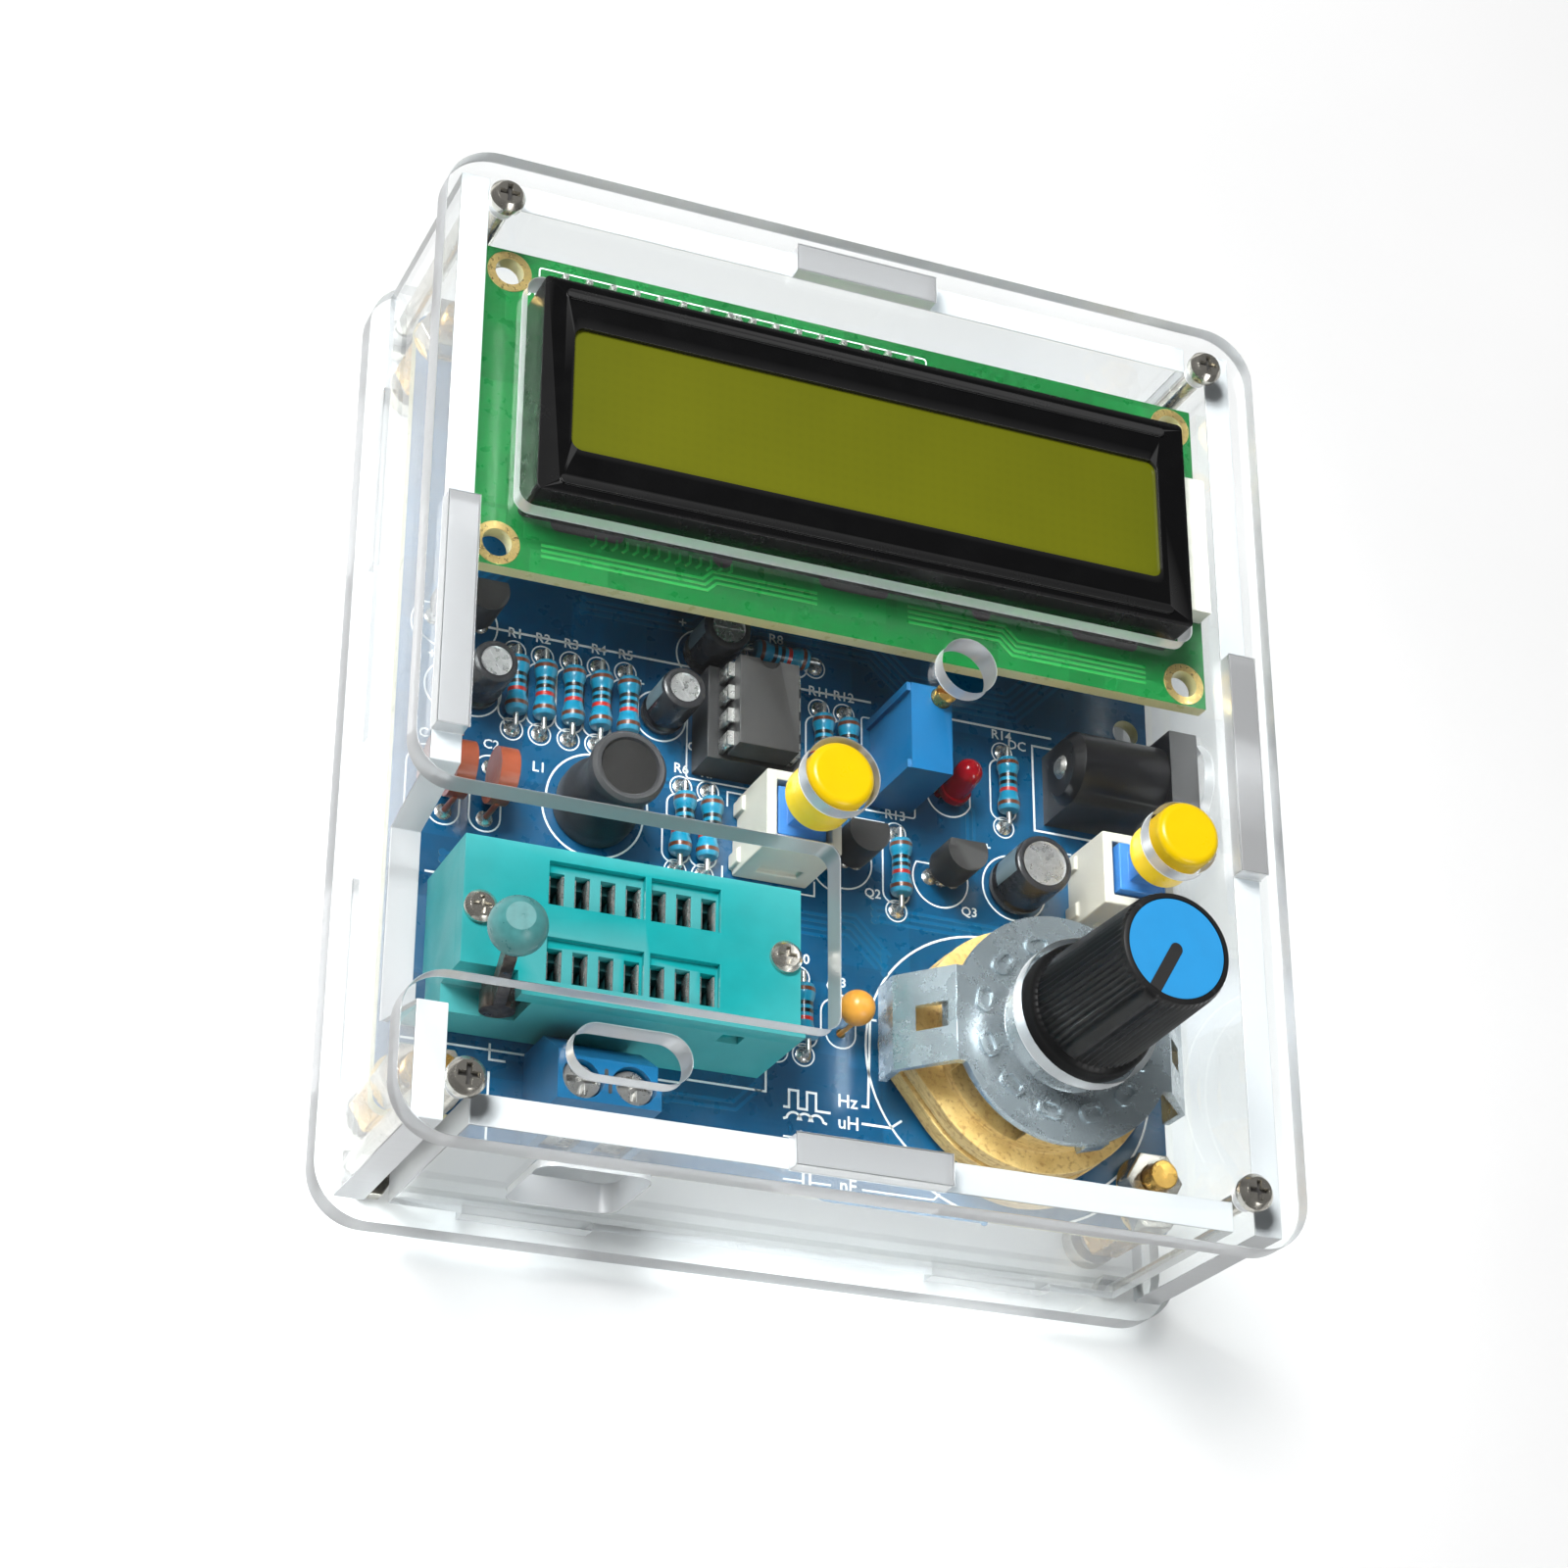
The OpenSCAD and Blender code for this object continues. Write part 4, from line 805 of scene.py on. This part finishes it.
def board_tracks():
    """Copper under the lacquer of the main board, on its top with a ring at each end, and on its back."""
    build = Build()
    pitch = 0.75
    ring = [(0, 0), (0.42, 0), (0.42, HAIR), (0.2, HAIR), (0, HAIR / 2)]
    for points, count in TOP_TRACKS:
        bus(build, points, count, pitch, 0.36, DECK, DECK + HAIR / 2)
        for x, y in (points[0], points[-1]):
            for n in range(count):
                build.lathe(ring, turn(x, y + (n - (count - 1) / 2) * pitch, DECK), 14)
    for points, count in REAR_TRACKS:
        bus(build, points, count, 0.95, 0.45, UNDERSIDE - HAIR / 2, UNDERSIDE)
    build.piece("board_tracks", [BLUE_TRACE], slot="blue_board")


def hole_pads():
    """Plated rings round the mounting holes of both boards."""
    build = Build()
    low, high = box("lcd_board")
    inset = 2.5
    for x in (low.x + inset, high.x - inset):
        for y in (low.y + inset, high.y - inset):
            for side, level in ((0, high.z), (180, low.z)):
                build.lathe([(1.5, 0), (1.5, 0.05), (2.3, 0.05), (2.35, 0)], turn(x, y, level, "X", side), 40)
    for nut_low, nut_high in solids("board_nuts"):
        x, y = (nut_low.x + nut_high.x) / 2, (nut_low.y + nut_high.y) / 2
        build.lathe([(1.7, 0), (1.7, 0.03), (3.1, 0.03), (3.1, 0)], turn(x, y, DECK), 40)
    build.piece("hole_pads", [GOLD_PAD], slot="brass")


solder_work()
board_print()
board_tracks()
hole_pads()


# ---------------------------------------------------------------- display board

def bezel_slots():
    """Dark slots in the display board that the bezel's tabs pass through: the black tab, with painted shade
    in the slot round it.
    """
    build = Build()
    low, high = box("lcd_bezel")
    centre = (low.x + high.x) / 2
    base, top = DISPLAY_DECK - 0.02, DISPLAY_DECK + HAIR
    pitch = 28.4
    for edge in (low.y, high.y):
        for k in (-1, 0, 1):
            build.slab(rounded(centre + k * pitch, edge, 7.6, 1.7, 0.84), base, top)
        for k in (-1, 1):
            build.slab(arc(centre + k * pitch / 2, edge, 1.05, 0, 345, 23), base, top)
    build.piece("bezel_slots", [PAINTED_RECESS_SHADE], slot="black_plastic")


def display_print():
    """Tracks, outline and contact numbers of the display board, and the two blobs on its back."""
    low, high = box("lcd_board")
    tracks = Build()
    y = low.y + 2.6
    left = [(low.x + 7, y), (low.x + 24, y), (low.x + 25, y + 1), (low.x + 36, y + 1)]
    right = [(high.x - 7, y), (high.x - 22, y), (high.x - 23.5, y + 1.4), (high.x - 34, y + 1.4)]
    for route, count in ((left, 3), (right, 4)):
        bus(tracks, route, count, 0.6, 0.28, high.z, high.z + HAIR)
    for k in range(14):
        x = low.x + 12 + k * 1.1
        tracks.ribbon([(x, y + 1.6), (x + 0.5, y + 2.1), (x + 0.5, y + 2.9)], 0.26, high.z, high.z + HAIR)
    tracks.piece("display_tracks", [GREEN_TRACE], slot="green_board")
    ink = Build()
    first, last = solids("lcd_header_pins")[0], solids("lcd_header_pins")[-1]
    ink.ribbon(rounded((first[0].x + last[1].x) / 2, (first[0].y + first[1].y) / 2,
                       last[1].x - first[0].x + 2.2, 2.6, 0.3, 3), 0.15, high.z, high.z + HAIR, True)
    ink.text("16", first[0].x - 2.2, first[0].y + 0.3, high.z, 1.4)
    ink.text("1", last[1].x + 1.9, first[0].y + 0.3, high.z, 1.4)
    ink.piece("display_print", [WHITE_INK], slot="white_plastic")
    blobs = Build()
    blob_r, blob_h, steps = 5.4, 1.1, 10
    quarter = [math.pi / 2 * k / steps for k in range(1, steps)]
    dome = [(blob_r * math.cos(a) ** 0.8, blob_h * math.sin(a)) for a in quarter]
    for x in (-19.0, 14.0):
        place = turn((low.x + high.x) / 2 + x, (low.y + high.y) / 2 - 1, low.z, "X", 180)
        blobs.lathe([(0, 0), (blob_r, 0)] + dome + [(0, blob_h)], place, 48)
    blobs.piece("driver_blobs", [CHIP], slot="black_plastic")


display_print()
bezel_slots()


# ---------------------------------------------------------------- small parts

# Half of a resistor's dumbbell outline, as (radius, distance from the middle), and the whole of it
BODY_HALF = [(0.95, 0.9), (0.98, 1.3), (1.08, 1.55), (1.18, 2.0), (1.16, 2.6), (1.0, 2.95), (0.5, 3.1),
             (0.0, 3.1)]
BODY_PROFILE = [(radius, -away) for radius, away in reversed(BODY_HALF)] + BODY_HALF
BAND_WIDTH = 0.42
BANDS = [(-2.3, 1), (-0.85, 2), (-0.05, 2), (0.75, 3), (2.3, 1)]     # place and material number


def banded_profile():
    """The dumbbell profile cut at the edges of its colour bands, with one material number a stretch."""
    cuts = sorted(c for centre, _ in BANDS for c in (centre - BAND_WIDTH / 2, centre + BAND_WIDTH / 2))
    points = [BODY_PROFILE[0]]
    for (r0, z0), (r1, z1) in zip(BODY_PROFILE, BODY_PROFILE[1:]):
        for c in cuts:
            if z0 < c < z1:
                points.append((r0 + (r1 - r0) * (c - z0) / (z1 - z0), c))
        points.append((r1, z1))
    mats = []
    for (_, z0), (_, z1) in zip(points, points[1:]):
        half = (z0 + z1) / 2
        mats.append(next((m for centre, m in BANDS if abs(half - centre) < BAND_WIDTH / 2), 0))
    return points, mats


def resistors():
    """Lacquered bodies with colour bands."""
    build = Build()
    profile, mats = banded_profile()
    for centre, upright in RESISTORS:
        place = Matrix.Translation(centre) @ Matrix.Rotation(math.radians(90), 4, "X" if upright else "Y")
        build.lathe(profile, place, 28, mats)
    build.piece("resistors", [LACQUER, BAND_BROWN, BAND_BLACK, BAND_RED], slot="resistor_lacquer",
                stands_for=["resistor_bodies"])


def cans():
    """Electrolytic capacitors: sleeve rolled over the rim, vented aluminium top, pale stripe."""
    build = Build()
    for low, high in CANS:
        radius, tall = (high.x - low.x) / 2, high.z - low.z
        place = turn((low.x + high.x) / 2, (low.y + high.y) / 2, low.z)
        foot = [(0, 0.1), (radius - 0.35, 0.1), (radius - 0.3, 0.35), (radius - 0.05, 0.45), (radius, 0.8)]
        neck = [(radius, 1.2), (radius - 0.28, 1.5), (radius - 0.28, 1.75), (radius, 2.1)]
        rim = [(radius, tall - 0.5), (radius - 0.12, tall - 0.15), (radius - 0.4, tall),
               (radius - 0.75, tall - 0.02), (radius - 0.85, tall - 0.2), (0, tall - 0.2)]
        profile = foot + neck + rim
        build.lathe(profile, place, 48, [0] * 12 + [1, 1])
        for angle in (0, 60, 120):
            bar = place @ Matrix.Rotation(math.radians(angle), 4, "Z")
            build.slab(rectangle(-radius + 1, -0.06, radius - 1, 0.06), tall - 0.21, tall - 0.16, 1, bar)
        stripe = arc(0, 0, radius + 0.015, 150, 200, 8)
        rings = [[place @ Vector((x, y, z)) for x, y in stripe] for z in (2.2, tall - 0.5)]
        build.skin(rings, [2], closed=False)
    build.piece("electrolytic_cans", [SLEEVE, ALUMINIUM, SLEEVE_MARK], slot="can_sleeve",
                stands_for=["electrolytic_capacitors"])


def choke():
    """Drum core under heat shrink, with the ends of the drum standing out."""
    low, high = box("inductor")
    radius, tall = (high.x - low.x) / 2, high.z - low.z
    # radius and height as shares of the whole, from the foot to the rim of the top
    shares = [(1, 0.16), (0.97, 0.24), (0.84, 0.36), (0.79, 0.5), (0.8, 0.66), (0.86, 0.78), (0.9, 0.88),
              (0.88, 0.96), (0.8, 1)]
    profile = [(0, 0), (radius * 0.9, 0), (radius, 0.15)] + [(radius * r, tall * h) for r, h in shares]
    profile += [(radius * 0.7, tall - 0.05), (radius * 0.66, tall - 0.35), (0, tall - 0.4)]
    build = Build()
    build.lathe(profile, turn((low.x + high.x) / 2, (low.y + high.y) / 2, low.z), 64, [0] * 13 + [1])
    build.piece("choke", [SHRINK, CHIP], slot="ferrite", stands_for=["inductor"])


def chip_legs():
    """Tinned legs of both chips: a shoulder that leaves the body, then a leg down into the socket."""
    build = Build()
    half, outer, shoulder, knee = 0.74, 3.88, 2.46, 2.025
    for name, count, angle in (("main_chip", 14, 0), ("small_chip", 4, -90)):
        centre = middle(name)
        chip = turn(centre.x, centre.y, box(name)[0].z, angle=angle)
        for k in range(count):
            place = chip @ Matrix.Translation(((k - (count - 1) / 2) * PIN_PITCH, 0, 0))
            for side in (-1, 1):
                for inner, low, high in ((3.1, knee - 0.005, shoulder), (3.42, 0.02, knee + 0.005)):
                    outline = rectangle(-half, side * inner, half, side * outer)
                    build.slab(outline, low, high, 0, place)
    build.piece("chip_legs", [TIN], slot="tinned_metal")


def socket_contacts():
    """Spring leaves that show in the slots of the lever socket."""
    build = Build()
    low, high = box("zif_cover")
    for pin_low, pin_high in solids("zif_contacts"):
        x, y = (pin_low.x + pin_high.x) / 2, (pin_low.y + pin_high.y) / 2
        for side, thick, reach in ((1, 0.2, 1.5), (-1, 0.1, 1.35)):
            edge = x + side * 0.72
            build.slab(rectangle(edge - side * thick, y - reach, edge, y + reach), low.z - 0.5, high.z - 0.78)
    build.piece("socket_contacts", [TIN], slot="tinned_metal")


def recesses():
    """Painted shade: dark floors in the cross recesses of the screws, and a dark strip in the groove between
    the two terminals.
    """
    build = Build()
    for name, down in (("case_screws", False), ("zif_screws", False), ("board_screws", True)):
        for low, high in solids(name):
            across = high.x - low.x
            long, short = across * 0.53, across * 0.14
            deep = 0.8 if down else across * 0.17
            level, over = (low.z, 180) if down else (high.z, 0)
            place = turn((low.x + high.x) / 2, (low.y + high.y) / 2, level, "X", over)
            for length, width in ((long, short), (short, long)):
                top = -deep + 0.02 + length * 0.001
                build.slab(rounded(0, 0, length, width, 0.05, 2), -deep - 0.02, top, 0, place)
    # Painted shade: a dark strip along the groove between the two terminals.
    low, high = box("terminal_block")
    mid = (low.x + high.x) / 2
    build.slab(rounded(mid, low.y + 2.4, 0.36, 2.8, 0.17), high.z - 0.02, high.z + HAIR)
    build.piece("recess_shadows", [PAINTED_RECESS_SHADE], slot="black_plastic")


resistors()
cans()
choke()
chip_legs()
socket_contacts()
recesses()


# ---------------------------------------------------------------- knob

POINTER = 240        # direction of the pointer, in degrees


def fluted_knob():
    """Knob with fine flutes, a smooth skirt, a pointer rib and a rim round its inset."""
    low, high = box("knob")
    centre = (low + high) / 2
    inset_low, inset_high = box("knob_cap")
    tall = high.z - low.z
    skirt = (high.x - low.x) / 2
    hole = (inset_high.x - inset_low.x) / 2 + 0.06
    floor = inset_low.z - low.z
    pointer = math.radians(POINTER)
    rib_half, rib_slope, rib_rise = 0.75, 0.25, 0.12
    # height, radius, and the share of the flutes' depth
    rings = [(0.0, skirt - 0.35, 0), (0.2, skirt - 0.05, 0), (0.5, skirt, 0), (2.1, skirt - 0.12, 0),
             (2.45, skirt - 0.35, 0), (2.7, skirt - 0.7, 0), (2.9, 6.2, 0.4), (3.3, 6.16, 1),
             (tall - 1.5, 5.74, 1),
             (tall - 0.9, 5.7, 0.9), (tall - 0.45, 5.62, 0.2), (tall - 0.12, 5.45, 0), (tall, 5.15, 0),
             (tall, hole, 0), (floor, hole, 0)]
    flutes, per_flute, depth = 60, 8, 0.24
    steps = flutes * per_flute
    build = Build()
    made = [[Vector((centre.x, centre.y, low.z))]]
    for height, radius, cut in rings:
        ring = []
        for k in range(steps):
            angle = math.tau * k / steps
            groove = depth * cut * (0.5 - 0.5 * math.cos(angle * flutes)) ** 0.7
            off = abs((angle - pointer + math.pi) % math.tau - math.pi) * radius
            if cut and off < rib_half:
                groove = -rib_rise * min(1.0, (rib_half - off) / rib_slope)
            ring.append(Vector((centre.x + (radius - groove) * math.cos(angle),
                                centre.y + (radius - groove) * math.sin(angle), low.z + height)))
        made.append(ring)
    made.append([Vector((centre.x, centre.y, low.z + floor))])
    build.skin(made)
    build.piece("fluted_knob", [KNOB], body="knob", slot="knob_plastic", stands_for=["knob"])


def knob_top():
    """Smooth inset disc with a black pointer from its middle to its edge."""
    low, high = box("knob_cap")
    centre = (low + high) / 2
    radius = (high.x - low.x) / 2
    disc = Build()
    disc.slab(arc(centre.x, centre.y, radius, 0, 356, 89), low.z + 0.02, high.z)
    disc.piece("knob_inset", [INSET], body="knob", slot="knob_inset", stands_for=["knob_cap"])
    mark = Build()
    half = 0.62
    outline = [(radius, -half), (radius, half)] + arc(0.1, 0, half, 90, 270, 16)
    mark.slab(outline, high.z - 0.1, high.z + 0.06, 0, turn(centre.x, centre.y, angle=POINTER))
    mark.piece("pointer_mark", [KNOB], body="knob", slot="knob_plastic")


fluted_knob()
knob_top()


# ---------------------------------------------------------------- floor, light, camera

def stage():
    """A wide pale floor, just under the screw heads that the case stands on."""
    floor = Build()
    reach = 3000
    floor.slab(rectangle(-reach, -reach, reach, reach), -20, 0)
    s = Shader("pale_floor")
    cloud = s.range(s.noise(60, 3), 0.3, 0.7, 0, 1)
    s.set(Base_Color=s.tint(cloud, (0.9, 0.9, 0.9, 1), (0.93, 0.93, 0.93, 1)), Roughness=0.8)
    obj = floor.make("floor", [s.material])


def area_light(name, place, size, power):
    """A round soft light that looks at the middle of the case."""
    lamp = bpy.data.lights.new(name, "AREA")
    lamp.shape = "DISK"
    lamp.size = size
    lamp.energy = power
    obj = bpy.data.objects.new(name, lamp)
    obj.location = place
    obj.rotation_euler = (Vector((0, 0, 0.02)) - Vector(place)).to_track_quat("-Z", "Y").to_euler()
    bpy.context.scene.collection.objects.link(obj)


def light():
    """Two soft lamps and a faint, even surround."""
    world = bpy.data.worlds.new("studio")
    world.use_nodes = True
    surround = world.node_tree.nodes["Background"]
    surround.inputs["Color"].default_value = (1, 1, 1, 1)
    surround.inputs["Strength"].default_value = 0.08
    bpy.context.scene.world = world
    area_light("key", (-0.42, 0.3, 0.85), 0.4, 10.8)
    area_light("fill", (0.35, -0.75, 0.55), 0.5, 2.8)


def camera():
    """Looks down at the front panel from the lower left, rolled as the photograph is."""
    data = bpy.data.cameras.new("camera")
    roll = math.radians(44.5)
    data.lens = 75.4
    data.sensor_width = 36
    data.shift_x = 0.0174
    data.shift_y = 0.0028
    data.clip_start = 0.01
    place = Vector((-0.1194, -0.1459, 0.2895))
    target = Vector((-0.0075, -0.0075, 0.02))
    aim = (target - place).to_track_quat("-Z", "Y").to_matrix().to_4x4()
    obj = bpy.data.objects.new("camera", data)
    obj.matrix_world = Matrix.Translation(place) @ aim @ Matrix.Rotation(roll, 4, "Z")
    bpy.context.scene.collection.objects.link(obj)
    bpy.context.scene.camera = obj


stage()
light()
camera()
bpy.context.scene.view_settings.view_transform = "Standard"
